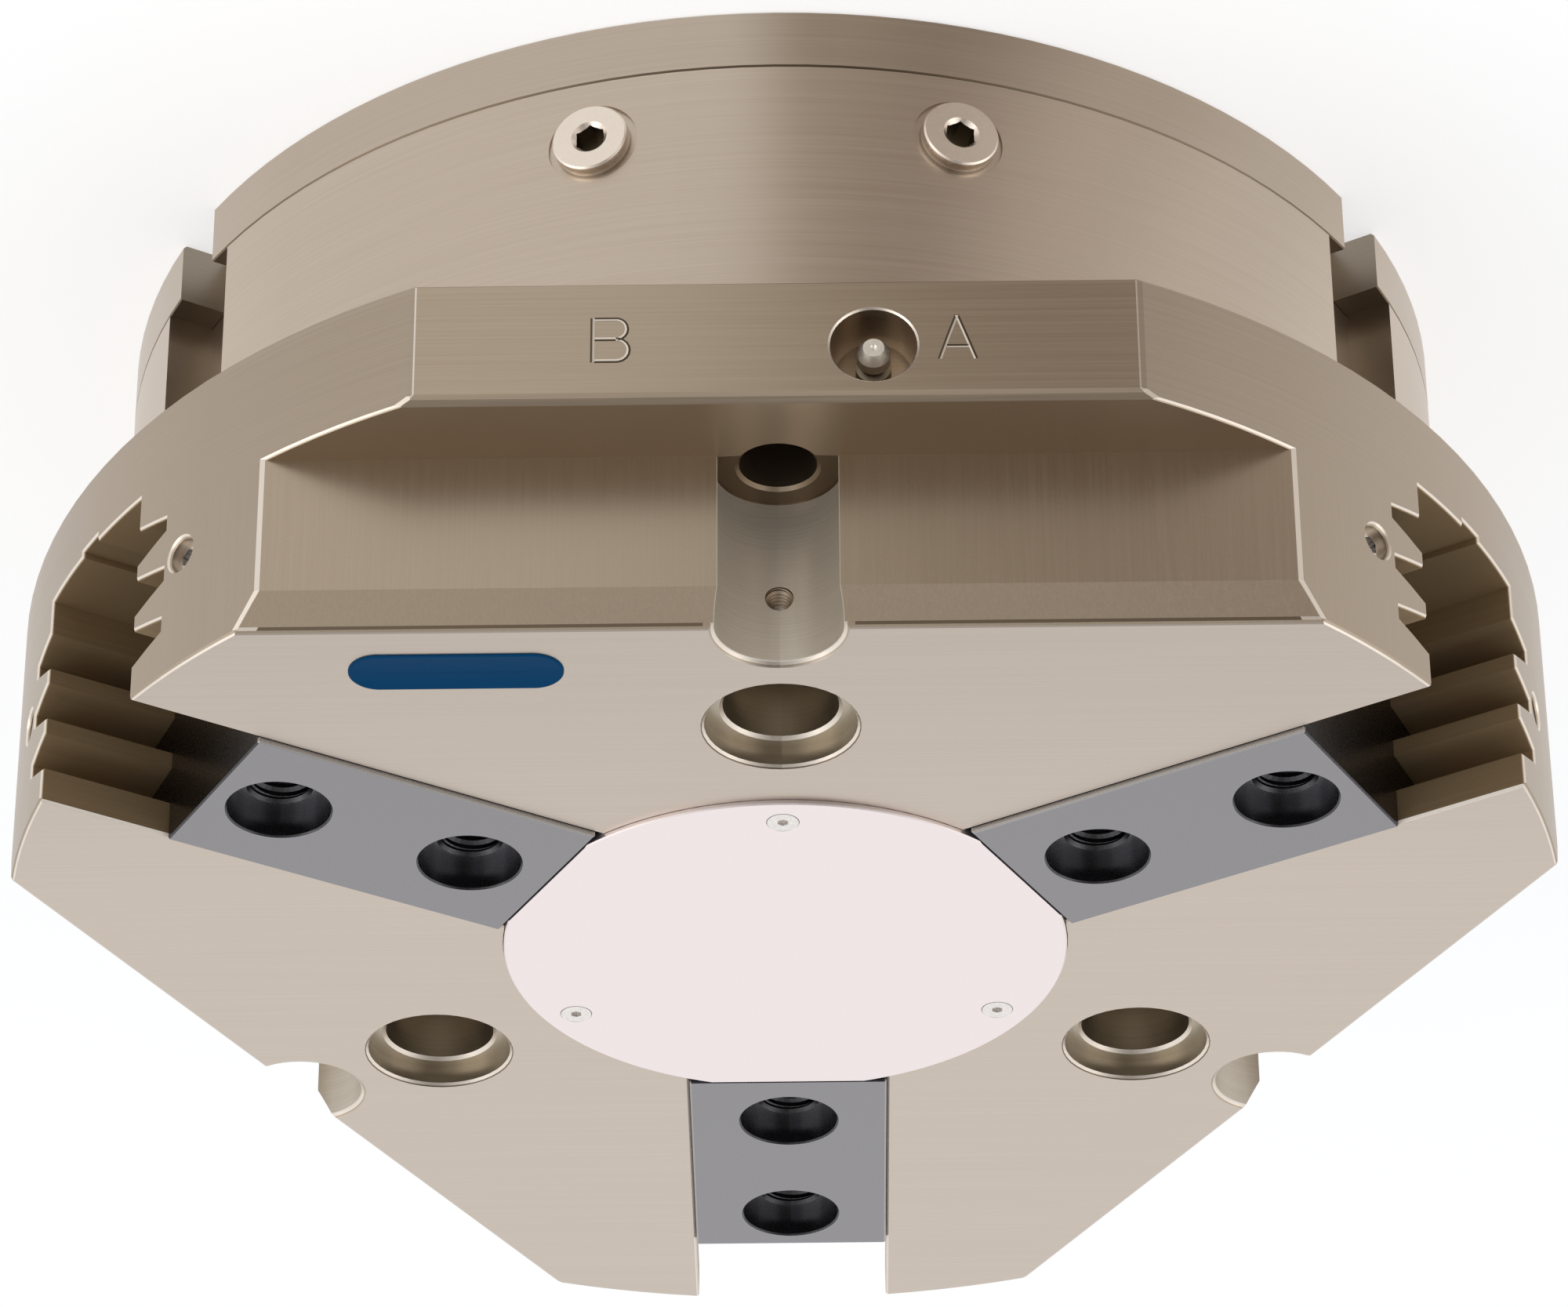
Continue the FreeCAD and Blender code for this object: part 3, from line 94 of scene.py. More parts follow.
# %% [markdown]
# ## Studio
# The real part hangs in a white studio. Here a pale floor carries it. What the camera sees behind
# it is plain white, while a calmer world and two large soft lamps do the lighting. Plated metal is
# mostly mirror, so its tones come from what stands around it: white behind the part, a grey patch
# in front of its right half, and less light high up and to the right in front. A photographed
# room could be wrapped around the part for that, but a few tones by direction are easier to read
# and to change. The angle around the part is the arc tangent of the two level coordinates.

# %% Tones around the part
AROUND = [
    (-180, (1.00, 0.99, 0.98)), (-75, (0.95, 0.93, 0.91)), (-50, (0.80, 0.77, 0.74)),
    (-33, (0.67, 0.62, 0.58)), (-14, (0.41, 0.36, 0.32)), (-4, (0.49, 0.44, 0.39)),
    (5, (0.86, 0.84, 0.82)), (40, (0.88, 0.86, 0.84)), (90, (0.97, 0.96, 0.95)),
    (180, (1.00, 0.99, 0.98)),
]


def tones_around(tree, place):
    """The colour metal sees in a level direction: 0 degrees is the front, 90 the side of +X."""
    parts = add(tree, "SeparateXYZ", {0: place})
    ahead = add(tree, "Math", {0: parts.outputs["Y"], 1: -1.0}, operation="MULTIPLY")
    angle = add(tree, "Math", {0: parts.outputs["X"], 1: ahead.outputs[0]}, operation="ARCTAN2")
    share = add(tree, "MapRange", {0: angle.outputs[0], 1: -math.pi, 2: math.pi, 3: 0.0, 4: 1.0})
    ramp = add(tree, "ValToRGB", {0: share.outputs[0]})
    ramp.color_ramp.interpolation = "EASE"
    stops = ramp.color_ramp.elements
    while len(stops) < len(AROUND):
        stops.new(0.5)
    for stop, (degrees, colour) in zip(stops, AROUND):
        stop.position = (degrees + 180) / 360
        stop.color = (*colour, 1)
    return ramp.outputs[0]


# %% World
WORLD_GLOW = 0.55
FADE_START = 0.45
FADE_END = 0.9
FADED = 0.35
RIGHT_SIDE = 0.8

world = bpy.data.worlds.new("soft_studio")
scene.world = world
world.use_nodes = True
sky = world.node_tree
sky.nodes.clear()
rays = add(sky, "LightPath")
seen = add(sky, "Math", {0: rays.outputs["Is Camera Ray"], 1: rays.outputs["Is Transmission Ray"]},
           operation="MAXIMUM")
calm = add(sky, "Background", {"Color": (0.93, 0.96, 1.0, 1), "Strength": WORLD_GLOW})
white = add(sky, "Background", {"Color": (1, 1, 1, 1), "Strength": 1.0})
look = add(sky, "TexCoord").outputs["Generated"]
parts = add(sky, "SeparateXYZ", {0: look})
high = add(sky, "MapRange", {0: parts.outputs["Z"], 1: FADE_START, 2: FADE_END, 3: 1.0, 4: FADED})
right = add(sky, "MapRange", {0: parts.outputs["X"], 1: 0.03, 2: -0.06, 3: 1.0, 4: RIGHT_SIDE})
fade = add(sky, "Math", {0: high.outputs[0], 1: right.outputs[0]}, operation="MULTIPLY")
front = add(sky, "MapRange", {0: parts.outputs["Y"], 1: 0.1, 2: -0.4, 3: 0.0, 4: 1.0})
level = add(sky, "Mix", {0: front.outputs[0], 2: 1.0, 3: fade.outputs[0]}, data_type="FLOAT")
mirrored = add(sky, "Background", {"Color": tones_around(sky, look), "Strength": level.outputs[0]})
glossy = rays.outputs["Is Glossy Ray"]
lit = add(sky, "MixShader", {0: glossy, 1: calm.outputs[0], 2: mirrored.outputs[0]})
chosen = add(sky, "MixShader", {0: seen.outputs[0], 1: lit.outputs[0], 2: white.outputs[0]})
add(sky, "OutputWorld", {"Surface": chosen.outputs[0]})
print("world nodes:", len(sky.nodes))

# %% Floor
FLOOR_HALF = 6.0
FLOOR_DROP = 0.1 * MM
FLOOR_GLOW = 0.58

floor_mesh = bpy.data.meshes.new("studio_floor")
corners = np.array([(-1, -1, 0), (1, -1, 0), (1, 1, 0), (-1, 1, 0)]) * FLOOR_HALF
floor_mesh.from_pydata((corners - (0, 0, FLOOR_DROP)).tolist(), [], [(0, 1, 2, 3)])
floor = bpy.data.objects.new("studio_floor", floor_mesh)
scene.collection.objects.link(floor)

paper = bpy.data.materials.new("pale_paper")
paper.use_nodes = True
tree = paper.node_tree
tree.nodes.clear()
rays = add(tree, "LightPath")
matt = add(tree, "BsdfDiffuse", {"Color": (0.78, 0.77, 0.76, 1)})
pale = add(tree, "BsdfDiffuse", {"Color": (0.7, 0.7, 0.7, 1)})
glow = add(tree, "Emission", {"Color": (1, 1, 1, 1), "Strength": FLOOR_GLOW})
lifted = add(tree, "AddShader", {0: pale.outputs[0], 1: glow.outputs[0]})
floor_place = add(tree, "TexCoord").outputs["Object"]
mirrored = add(tree, "Emission", {"Color": tones_around(tree, floor_place), "Strength": 1.0})
glossy = rays.outputs["Is Glossy Ray"]
direct = rays.outputs["Is Camera Ray"]
shown = add(tree, "MixShader", {0: glossy, 1: matt.outputs[0], 2: mirrored.outputs[0]})
chosen = add(tree, "MixShader", {0: direct, 1: shown.outputs[0], 2: lifted.outputs[0]})
add(tree, "OutputMaterial", {"Surface": chosen.outputs[0]})
floor.data.materials.append(paper)
print("floor, metres across:", 2 * FLOOR_HALF)

# %% Lamps
def soft_lamp(name, place, aim, width, power, colour):
    """A square area lamp at a place, turned to face an aim point."""
    data = bpy.data.lights.new(name, "AREA")
    data.shape = "SQUARE"
    data.size = width
    data.energy = power
    data.color = colour
    lamp = bpy.data.objects.new(name, data)
    scene.collection.objects.link(lamp)
    lamp.location = place
    lamp.rotation_euler = (Vector(aim) - Vector(place)).to_track_quat("-Z", "Y").to_euler()


MIDDLE = (0, 0, 0.12)
soft_lamp("left_box", (1.9, -1.2, 1.1), MIDDLE, 2.0, 13, (1.0, 0.97, 0.93))
soft_lamp("right_box", (-1.9, -1.0, 1.1), MIDDLE, 2.0, 9, (1.0, 0.98, 0.95))
print("lamps:", len(bpy.data.lights))

# %% [markdown]
# ## Brushed and turned metal
# Machined metal shows fine lines in the direction the tool ran. A noise pattern that is
# stretched a hundredfold along that direction makes them. It reads the object's own coordinates,
# so the lines stay on the part when the camera moves. The pattern drives three things by a little:
# the colour, how rough the surface is, and its bumps.

# %% Pattern helpers
PATTERN_LOW = 0.3
PATTERN_HIGH = 0.7
BUMP_STRENGTH = 0.6


def object_place(tree):
    """The output that holds a point's place on the object, in metres."""
    return add(tree, "TexCoord").outputs["Object"]


def streaks(tree, place, per_metre, detail=3.0):
    """Noise that runs per_metre times a metre along each axis, from 0 to 1."""
    stretched = add(tree, "Mapping", {"Vector": place, "Scale": per_metre})
    noise = add(tree, "TexNoise", {"Vector": stretched.outputs[0], "Scale": 1.0, "Detail": detail})
    return noise.outputs[0]


def above(tree, value, limit):
    """1 where a value is over a limit, else 0."""
    return add(tree, "Math", {0: value, 1: limit}, operation="GREATER_THAN").outputs[0]


def blended(tree, share, first, second):
    """first where share is 0, second where it is 1."""
    mix = add(tree, "Mix", {0: share, 2: first, 3: second}, data_type="FLOAT")
    return mix.outputs[0]


def toned(tree, share, first, second):
    """The first colour where share is 0, the second where it is 1."""
    mix = add(tree, "Mix", {0: share, 6: first, 7: second}, data_type="RGBA")
    return mix.outputs[2]


def two_tones(tree, pattern, dark, light, low=PATTERN_LOW, high=PATTERN_HIGH):
    """A colour between dark and light that follows a pattern from 0 to 1."""
    ramp = add(tree, "ValToRGB", {0: pattern})
    ramp.color_ramp.elements[0].position = low
    ramp.color_ramp.elements[1].position = high
    ramp.color_ramp.elements[0].color = (*dark, 1)
    ramp.color_ramp.elements[1].color = (*light, 1)
    return ramp.outputs[0]


def ranged(tree, pattern, low, high):
    """The usual span of a pattern made a number from low to high."""
    spread = add(tree, "MapRange", {0: pattern, 1: PATTERN_LOW, 2: PATTERN_HIGH, 3: low, 4: high})
    return spread.outputs[0]


def new_finish(name):
    """An empty finish and its main shader, wired to the output."""
    finish = bpy.data.materials.new(name)
    finish.use_nodes = True
    tree = finish.node_tree
    tree.nodes.clear()
    shader = add(tree, "BsdfPrincipled")
    add(tree, "OutputMaterial", {"Surface": shader.outputs[0]})
    return finish, tree, shader


def wire(tree, shader, colour, roughness, height, depth):
    """Colour, roughness and bumps of a finish. depth is how deep the bumps are, in metres."""
    tree.links.new(colour, shader.inputs["Base Color"])
    tree.links.new(roughness, shader.inputs["Roughness"])
    bump = add(tree, "Bump", {"Height": height, "Strength": BUMP_STRENGTH, "Distance": depth})
    tree.links.new(bump.outputs[0], shader.inputs["Normal"])

# %% [markdown]
# ## Areas of the body
# Housing, drum and flange share one finish, and numbers tell its areas apart. The height above the
# floor parts the flange, the drum, the lobes and the face. The distance to three upright axes finds
# the screw pockets and the stepped bores, and the distance to the plane through each jaw's path
# finds the guideways. The recesses in the drum are found by their walls, which don't face outward,
# and broken edges by the slant of their normals. Each area is a mask: 1 inside it and 0 outside.

# %% Levels and distances
SEAM = 20 * MM
SEAM_HALF = 0.45 * MM
SHOULDER = 99.9 * MM
STEP = 140.5 * MM
FACE_BREAK = 192.45 * MM
SKIN_TOP = 192.9 * MM
FACE = 193.7 * MM
SKIN = 229.45 * MM
RIM = 226 * MM
INNER_FLAT = 179.6 * MM
POCKET_CIRCLE = 173.2 * MM
POCKET_RADIUS = 18.2 * MM
MOUTH_BREAK = 0.7 * MM
MOUTH_REACH = 21 * MM
BORE_CIRCLE = 123 * MM
BORE_RADIUS = 22.9 * MM
GUIDEWAY_HALF = 45 * MM
NIPPLE_AXIS = (-26.9 * MM, 0, 121.8 * MM)
NIPPLE_BORE = 12.7 * MM
NIPPLE_FLAT = -205.95 * MM
# Angles around the part, in degrees: 0 is the side of +X, and 270 is the front.
LOBES = (270, 30, 150)
JAW_TURNS = {"rear": 90, "left": 210, "right": 330}


# %% Masks
def below(tree, value, limit):
    """1 where a value is under a limit, else 0."""
    return add(tree, "Math", {0: value, 1: limit}, operation="LESS_THAN").outputs[0]


def every(tree, first, *others):
    """1 where all of the masks are 1: their product."""
    for mask in others:
        first = add(tree, "Math", {0: first, 1: mask}, operation="MULTIPLY").outputs[0]
    return first


def either(tree, first, *others):
    """1 where at least one of the masks is 1: their maximum."""
    for mask in others:
        first = add(tree, "Math", {0: first, 1: mask}, operation="MAXIMUM").outputs[0]
    return first


def part_of(tree, vector, axis):
    """One of the three numbers of a place or a direction."""
    return add(tree, "SeparateXYZ", {0: vector}).outputs[axis]


def flattened(tree, place):
    """A place with its height taken away."""
    return add(tree, "VectorMath", {0: place, 1: (1, 1, 0)}, operation="MULTIPLY").outputs[0]


def dot(tree, first, second):
    """How far one vector reaches along another."""
    return add(tree, "VectorMath", {0: first, 1: second}, operation="DOT_PRODUCT").outputs["Value"]


def gap_between(tree, first, second):
    """The distance between two places."""
    return add(tree, "VectorMath", {0: first, 1: second}, operation="DISTANCE").outputs["Value"]


# %% Distances in the plane
def gap_to_axes(tree, flat_place, circle):
    """Distance to the nearest of three upright axes, one in the middle of each lobe."""
    nearest = None
    for degrees in LOBES:
        turn = math.radians(degrees)
        gap = gap_between(tree, flat_place, (circle * math.cos(turn), circle * math.sin(turn), 0))
        if nearest is not None:
            gap = add(tree, "Math", {0: gap, 1: nearest}, operation="MINIMUM").outputs[0]
        nearest = gap
    return nearest


def near_guideways(tree, flat_place, half_width):
    """1 within a distance of the three planes that the jaws' paths lie in."""
    found = []
    for degrees in JAW_TURNS.values():
        turn = math.radians(degrees)
        along = dot(tree, flat_place, (math.cos(turn), math.sin(turn), 0))
        across = dot(tree, flat_place, (-math.sin(turn), math.cos(turn), 0))
        distance = add(tree, "Math", {0: across}, operation="ABSOLUTE").outputs[0]
        found.append(every(tree, below(tree, distance, half_width), above(tree, along, 0)))
    return either(tree, *found)


def measured(tree):
    """Where a point of the body is and how its surface lies, by name."""
    place = object_place(tree)
    flat_place = flattened(tree, place)
    normal = add(tree, "NewGeometry").outputs["True Normal"]
    outward = add(tree, "VectorMath", {0: flat_place}, operation="NORMALIZE").outputs[0]
    return {
        "place": place,
        "height": part_of(tree, place, "Z"),
        "reach": add(tree, "VectorMath", {0: flat_place}, operation="LENGTH").outputs["Value"],
        "facing": dot(tree, normal, outward),
        "up": part_of(tree, normal, "Z"),
        "pocket": gap_to_axes(tree, flat_place, POCKET_CIRCLE),
        "bore": gap_to_axes(tree, flat_place, BORE_CIRCLE),
        "between": near_guideways(tree, flat_place, GUIDEWAY_HALF),
    }


# %% Hollows and edges
def hollows(tree, at):
    """Masks of the screw pockets, the ledges under them, the stepped bores, guideways and recesses."""
    near_pocket = below(tree, at["pocket"], POCKET_RADIUS)
    in_lobe = every(tree, above(tree, at["height"], SHOULDER), below(tree, at["height"], FACE))
    return {
        "pocket": every(tree, near_pocket, above(tree, at["height"], STEP)),
        "ledge": every(tree, near_pocket, above(tree, at["up"], 0.9), below(tree, at["height"], STEP),
                       below(tree, at["reach"], INNER_FLAT)),
        "bore": every(tree, in_lobe, below(tree, at["bore"], BORE_RADIUS)),
        "guideway": every(tree, in_lobe, at["between"], below(tree, at["reach"], SKIN)),
        "recess": every(tree, below(tree, at["facing"], 0.7), below(tree, at["height"], SHOULDER)),
    }


def nipple_rim(tree, place):
    """1 on the edge of the nipple's bore."""
    upright = add(tree, "VectorMath", {0: place, 1: (1, 0, 1)}, operation="MULTIPLY").outputs[0]
    near = below(tree, gap_between(tree, upright, NIPPLE_AXIS), NIPPLE_BORE)
    return every(tree, near, below(tree, part_of(tree, place, "Y"), NIPPLE_FLAT))


def painted_highlight_edges(tree, at, slanted, at_top, in_bore):
    """1 on broken edges that get a painted highlight: on the round skin, the mouths and in the bores.
    """
    at_mouth = either(tree, below(tree, at["pocket"], POCKET_RADIUS + MOUTH_BREAK), at["between"],
                      above(tree, at["reach"], RIM))
    at_skin = every(tree, above(tree, at["reach"], SKIN), below(tree, at["facing"], 0.96),
                    below(tree, at["height"], SKIN_TOP))
    return either(tree, every(tree, at_top, at_mouth), at_skin, nipple_rim(tree, at["place"]),
                  every(tree, in_bore, slanted))


def dark_edges(tree, at, at_top):
    """1 in the seam over the flange, a dark joint, and on the face's edge along the lobes' flats, where
    shade is painted.
    """
    at_seam = every(tree, above(tree, at["height"], SEAM - SEAM_HALF),
                    below(tree, at["height"], SEAM + SEAM_HALF), above(tree, at["facing"], 0.5))
    on_flat = every(tree, above(tree, at["pocket"], MOUTH_REACH), below(tree, at["reach"], RIM))
    return either(tree, at_seam, every(tree, at_top, on_flat))

# %% [markdown]
# ## Plated body
# The plating is warm and champagne coloured. Its tool marks differ by area: round and level on the
# drum and the round skin, upright on the flats between the step and the face, and straight across
# on the flat face. Each area's tones are partly its own finish and partly painted light and shade,
# lighter on the drum and darker on the lobes. The face is a little paler far from the ports. In the
# screw pockets and the guideways the metal is greyer and matter, and in the stepped bores it is
# darker. Broken edges get a painted highlight in a bright bare metal colour. The seam is a dark
# joint, while the face's edge along the flats, the ledges under the screw pockets and the walls of
# the drum's recesses are darkened as painted shade. All of this could be painted on an image, but
# tones worked out from a point's place need none and hold from every side.

# %% Plating tones
# Each area's two tones are partly its own finish and partly painted light and shade: lighter on the
# drum, darker on the lobes' flats and round skin.
PLATING = {
    "drum": ((0.555, 0.47, 0.385), (0.60, 0.515, 0.43)),
    "flange": ((0.515, 0.435, 0.355), (0.555, 0.475, 0.395)),
    "lobe flat": ((0.44, 0.36, 0.275), (0.49, 0.405, 0.315)),
    "lobe skin": ((0.40, 0.33, 0.26), (0.435, 0.36, 0.285)),
    # Painted shade for the walls of the flange's recesses.
    "flange recess shade": ((0.27, 0.235, 0.19), (0.30, 0.26, 0.21)),
    "near face": ((0.50, 0.44, 0.385), (0.535, 0.475, 0.42)),
    "far face": ((0.575, 0.505, 0.44), (0.615, 0.545, 0.48)),
    "pocket": ((0.61, 0.545, 0.455), (0.68, 0.615, 0.52)),
    "bore": ((0.45, 0.40, 0.325), (0.50, 0.445, 0.365)),
    "guideway": ((0.335, 0.235, 0.13), (0.385, 0.27, 0.15)),
}
# Painted shade for the walls of the drum's recesses.
DRUM_RECESS_SHADE = (0.43, 0.365, 0.295, 1)
# The seam's dark joint colour, also used as painted shade on the face's edge along the flats and on the
# ledges under the screw pockets.
JOINT_AND_PAINTED_SHADE = (0.20, 0.155, 0.11, 1)
# A painted highlight in a bright bare metal colour, on broken edges.
PAINTED_EDGE_HIGHLIGHT = (0.82, 0.75, 0.67, 1)
FACE_NEAR = -190 * MM
FACE_FAR = -40 * MM


# %% Plated body
def tool_marks(tree, at, level, on_lobe, on_face):
    """Lines left by the tools: level, then upright on the lobes, then straight across the face."""
    upright = streaks(tree, at["place"], (1300, 1300, 25))
    grain = streaks(tree, at["place"], (1800, 1800, 1800), 2.0)
    across = streaks(tree, at["place"], (9, 1700, 9))
    marks = blended(tree, on_lobe, level, blended(tree, 0.5, upright, grain))
    return blended(tree, on_face, marks, across)


def tint(tree, area, marks):
    """An area's plating colour: between its two tones, as the marks say."""
    return two_tones(tree, marks, *PLATING[area])


def outer_tone(tree, at, marks, on_face):
    """The plating's colour outside of all hollows."""
    drum = toned(tree, above(tree, at["height"], SEAM), tint(tree, "flange", marks),
                 tint(tree, "drum", marks))
    lobe = toned(tree, above(tree, at["reach"], SKIN), tint(tree, "lobe flat", marks),
                 tint(tree, "lobe skin", marks))
    away = add(tree, "MapRange", {0: part_of(tree, at["place"], "Y"), 1: FACE_NEAR, 2: FACE_FAR,
                                  3: 0.0, 4: 1.0})
    face = toned(tree, away.outputs[0], tint(tree, "near face", marks), tint(tree, "far face", marks))
    tone = toned(tree, above(tree, at["height"], SHOULDER), drum, lobe)
    return toned(tree, on_face, tone, face)


def plated(name):
    """Warm plating: the outer colour first, then the hollows and the edges laid over it."""
    finish, tree, shader = new_finish(name)
    at = measured(tree)
    hollow = hollows(tree, at)
    slanted = every(tree, above(tree, at["up"], 0.3), below(tree, at["up"], 0.8))
    at_top = every(tree, slanted, above(tree, at["height"], FACE_BREAK), below(tree, at["reach"], SKIN))
    bright = painted_highlight_edges(tree, at, slanted, at_top, hollow["bore"])
    shade = either(tree, dark_edges(tree, at, at_top), hollow["ledge"])
    on_face = above(tree, at["height"], FACE)
    level = streaks(tree, at["place"], (12, 12, 1500))
    marks = tool_marks(tree, at, level, above(tree, at["height"], STEP), on_face)
    in_drum = above(tree, at["height"], SEAM)
    # The walls of recesses below the shoulder, which don't face outward, are darkened as painted shade.
    recess = toned(tree, in_drum, tint(tree, "flange recess shade", marks), DRUM_RECESS_SHADE)
    tone = outer_tone(tree, at, marks, on_face)
    for area in ("pocket", "bore", "guideway"):
        tone = toned(tree, hollow[area], tone, tint(tree, area, level))
    # The seam's dark joint colour, and painted shade on the face's edge and the ledges.
    tone = toned(tree, shade, tone, JOINT_AND_PAINTED_SHADE)
    # Painted shade in the recesses.
    tone = toned(tree, hollow["recess"], tone, recess)
    # A painted highlight on the broken edges.
    tone = toned(tree, bright, tone, PAINTED_EDGE_HIGHLIGHT)
    matt = either(tree, hollow["pocket"], hollow["guideway"])
    rough = blended(tree, matt, ranged(tree, marks, 0.3, 0.38), 0.42)
    wire(tree, shader, tone, rough, marks, 0.012 * MM)
    tree.links.new(blended(tree, matt, 1.0, 0.5), shader.inputs["Metallic"])
    return finish


body_plating = plated("champagne_plating")
print("made", body_plating.name)

# %% [markdown]
# ## Jaw steel
# The base jaws are hardened steel and blackened. Their top faces are ground and look blue grey.
# The low walls by which they stand over the body's face are ground too, and their lighter grey is a
# painted highlight. Their sides and holes stay almost black. Each face could get a material of its
# own, but a solid comes as one mesh, so the normal's upright part and the height tell these faces
# apart.

# %% Jaw steel and hook steel
JAW_INSIDE = 29.8 * MM
# A lighter grey than the ground tops: a painted highlight on the low walls over the face.
GROUND_WALL_HIGHLIGHT = (0.42, 0.41, 0.41, 1)


def ground_steel(name, dark, light, rough, per_metre):
    """Steel with grinding lines: tones between dark and light, and roughness near rough."""
    finish, tree, shader = new_finish(name)
    place = object_place(tree)
    lines = streaks(tree, place, per_metre)
    wire(tree, shader, two_tones(tree, lines, dark, light),
         ranged(tree, lines, rough - 0.04, rough + 0.06), lines, 0.01 * MM)
    shader.inputs["Metallic"].default_value = 1.0
    return finish


def jaw_finish(name):
    """Ground steel on top, ground steel with a painted highlight where the sides stand over the face,
    black oxide elsewhere.
    """
    finish, tree, shader = new_finish(name)
    place = object_place(tree)
    lines = streaks(tree, place, (2200, 2200, 2200), 1.0)
    normal = add(tree, "NewGeometry").outputs["True Normal"]
    on_top = above(tree, part_of(tree, normal, "Z"), 0.9)
    at_side = below(tree, near_guideways(tree, flattened(tree, place), JAW_INSIDE), 0.5)
    low_wall = every(tree, at_side, above(tree, part_of(tree, place, "Z"), FACE))
    ground = two_tones(tree, lines, (0.275, 0.270, 0.287), (0.283, 0.278, 0.295))
    black = two_tones(tree, lines, (0.07, 0.07, 0.078), (0.10, 0.10, 0.108))
    # The low walls over the face get the lighter grey as a painted highlight.
    sides = toned(tree, low_wall, black, GROUND_WALL_HIGHLIGHT)
    wire(tree, shader, toned(tree, on_top, sides, ground), ranged(tree, lines, 0.24, 0.3), lines,
         0.001 * MM)
    shader.inputs["Metallic"].default_value = 1.0
    return finish


jaw_steel = jaw_finish("blackened_jaw_steel")
hook_steel = ground_steel("hardened_steel", (0.28, 0.28, 0.29), (0.36, 0.36, 0.37), 0.3,
                          (900, 900, 30))
rod_steel = ground_steel("ground_steel", (0.55, 0.55, 0.56), (0.66, 0.66, 0.67), 0.22,
                         (40, 40, 1500))
piston_metal = ground_steel("turned_aluminium", (0.6, 0.6, 0.6), (0.7, 0.7, 0.7), 0.35,
                            (20, 20, 1200))
bush_metal = ground_steel("turned_bronze", (0.5, 0.33, 0.16), (0.62, 0.43, 0.22), 0.35,
                          (20, 20, 1200))

# %% [markdown]
# ## Small bright and dark parts
# The plugs are nickel plated, the nipple is zinc plated and the small screws are bright steel, so
# they mirror the white studio more strongly than the body does. The plugs' sockets and the
# nipple's neck lie in shade, found by their distance from an axis or a plane. The hidden screws
# have black oxide, and seals are smooth rubber. Each still gets a fine pattern, because no real
# surface is one flat colour.

# %% Small part finishes
PORT_LEVEL = 42 * MM
PORT_OUT = (math.sin(math.radians(15)), math.cos(math.radians(15)), 0)
SOCKET_RADIUS = 4.8 * MM
PLUG_FACE = 203.7 * MM
NIPPLE_NECK = -198.6 * MM


def in_sockets(tree, place):
    """1 in the plugs' sockets: near either port's axis and behind the plug's face."""
    port_height = (0, 0, PORT_LEVEL)
    lowered = add(tree, "VectorMath", {0: place, 1: port_height}, operation="SUBTRACT").outputs[0]
    folded = add(tree, "VectorMath", {0: lowered}, operation="ABSOLUTE").outputs[0]
    along = dot(tree, folded, PORT_OUT)
    on_axis = add(tree, "VectorMath", {0: PORT_OUT, "Scale": along}, operation="SCALE").outputs[0]
    near_axis = below(tree, gap_between(tree, folded, on_axis), SOCKET_RADIUS)
    return every(tree, near_axis, below(tree, along, PLUG_FACE))


def behind_head(tree, place):
    """1 on the grease nipple's neck and foot, behind its head."""
    return above(tree, part_of(tree, place, "Y"), NIPPLE_NECK)


def partly_shaded(name, dark, light, rough, shade, mask):
    """A bright plating that is an even dark shade where a mask is 1."""
    finish, tree, shader = new_finish(name)
    place = object_place(tree)
    grain = streaks(tree, place, (900, 900, 900))
    tone = toned(tree, mask(tree, place), two_tones(tree, grain, dark, light), (*shade, 1))
    wire(tree, shader, tone, ranged(tree, grain, rough - 0.04, rough + 0.06), grain, 0.01 * MM)
    shader.inputs["Metallic"].default_value = 1.0
    return finish


nickel = partly_shaded("nickel_plating", (0.86, 0.775, 0.685), (0.90, 0.81, 0.72), 0.32,
                       (0.17, 0.14, 0.10), in_sockets)
zinc = partly_shaded("zinc_plating", (0.86, 0.83, 0.76), (0.93, 0.90, 0.83), 0.42,
                     (0.30, 0.255, 0.19), behind_head)
bright_steel = ground_steel("bright_screw_steel", (0.74, 0.72, 0.70), (0.86, 0.84, 0.82), 0.18,
                            (1200, 1200, 1200))
washer_metal = ground_steel("washer_metal", (0.42, 0.38, 0.32), (0.52, 0.48, 0.42), 0.4,
                            (900, 900, 900))
black_oxide = ground_steel("black_oxide", (0.045, 0.045, 0.048), (0.075, 0.075, 0.078), 0.4,
                           (1500, 1500, 1500))


def moulded(name, dark, light, rough):
    """Rubber or plastic: no metal, with a fine even grain."""
    finish, tree, shader = new_finish(name)
    grain = streaks(tree, object_place(tree), (2500, 2500, 2500), 2.0)
    wire(tree, shader, two_tones(tree, grain, dark, light),
         ranged(tree, grain, rough - 0.05, rough + 0.08), grain, 0.02 * MM)
    return finish


rubber = moulded("seal_rubber", (0.015, 0.015, 0.015), (0.03, 0.03, 0.03), 0.6)
guide_plastic = moulded("guide_plastic", (0.12, 0.09, 0.06), (0.17, 0.13, 0.09), 0.5)
badge_enamel = moulded("deep_blue_enamel", (0.003, 0.06, 0.16), (0.005, 0.068, 0.18), 0.5)
badge_enamel.node_tree.nodes["Principled BSDF"].inputs["Specular IOR Level"].default_value = 0.03

# %% [markdown]
# ## Pale cover
# The round cover is the lightest part: finely blasted aluminium, nearly white with a hint of
# pink. White paint would be as pale but dull, while metal keeps the soft shine. A fine grain and a
# high roughness keep it even.

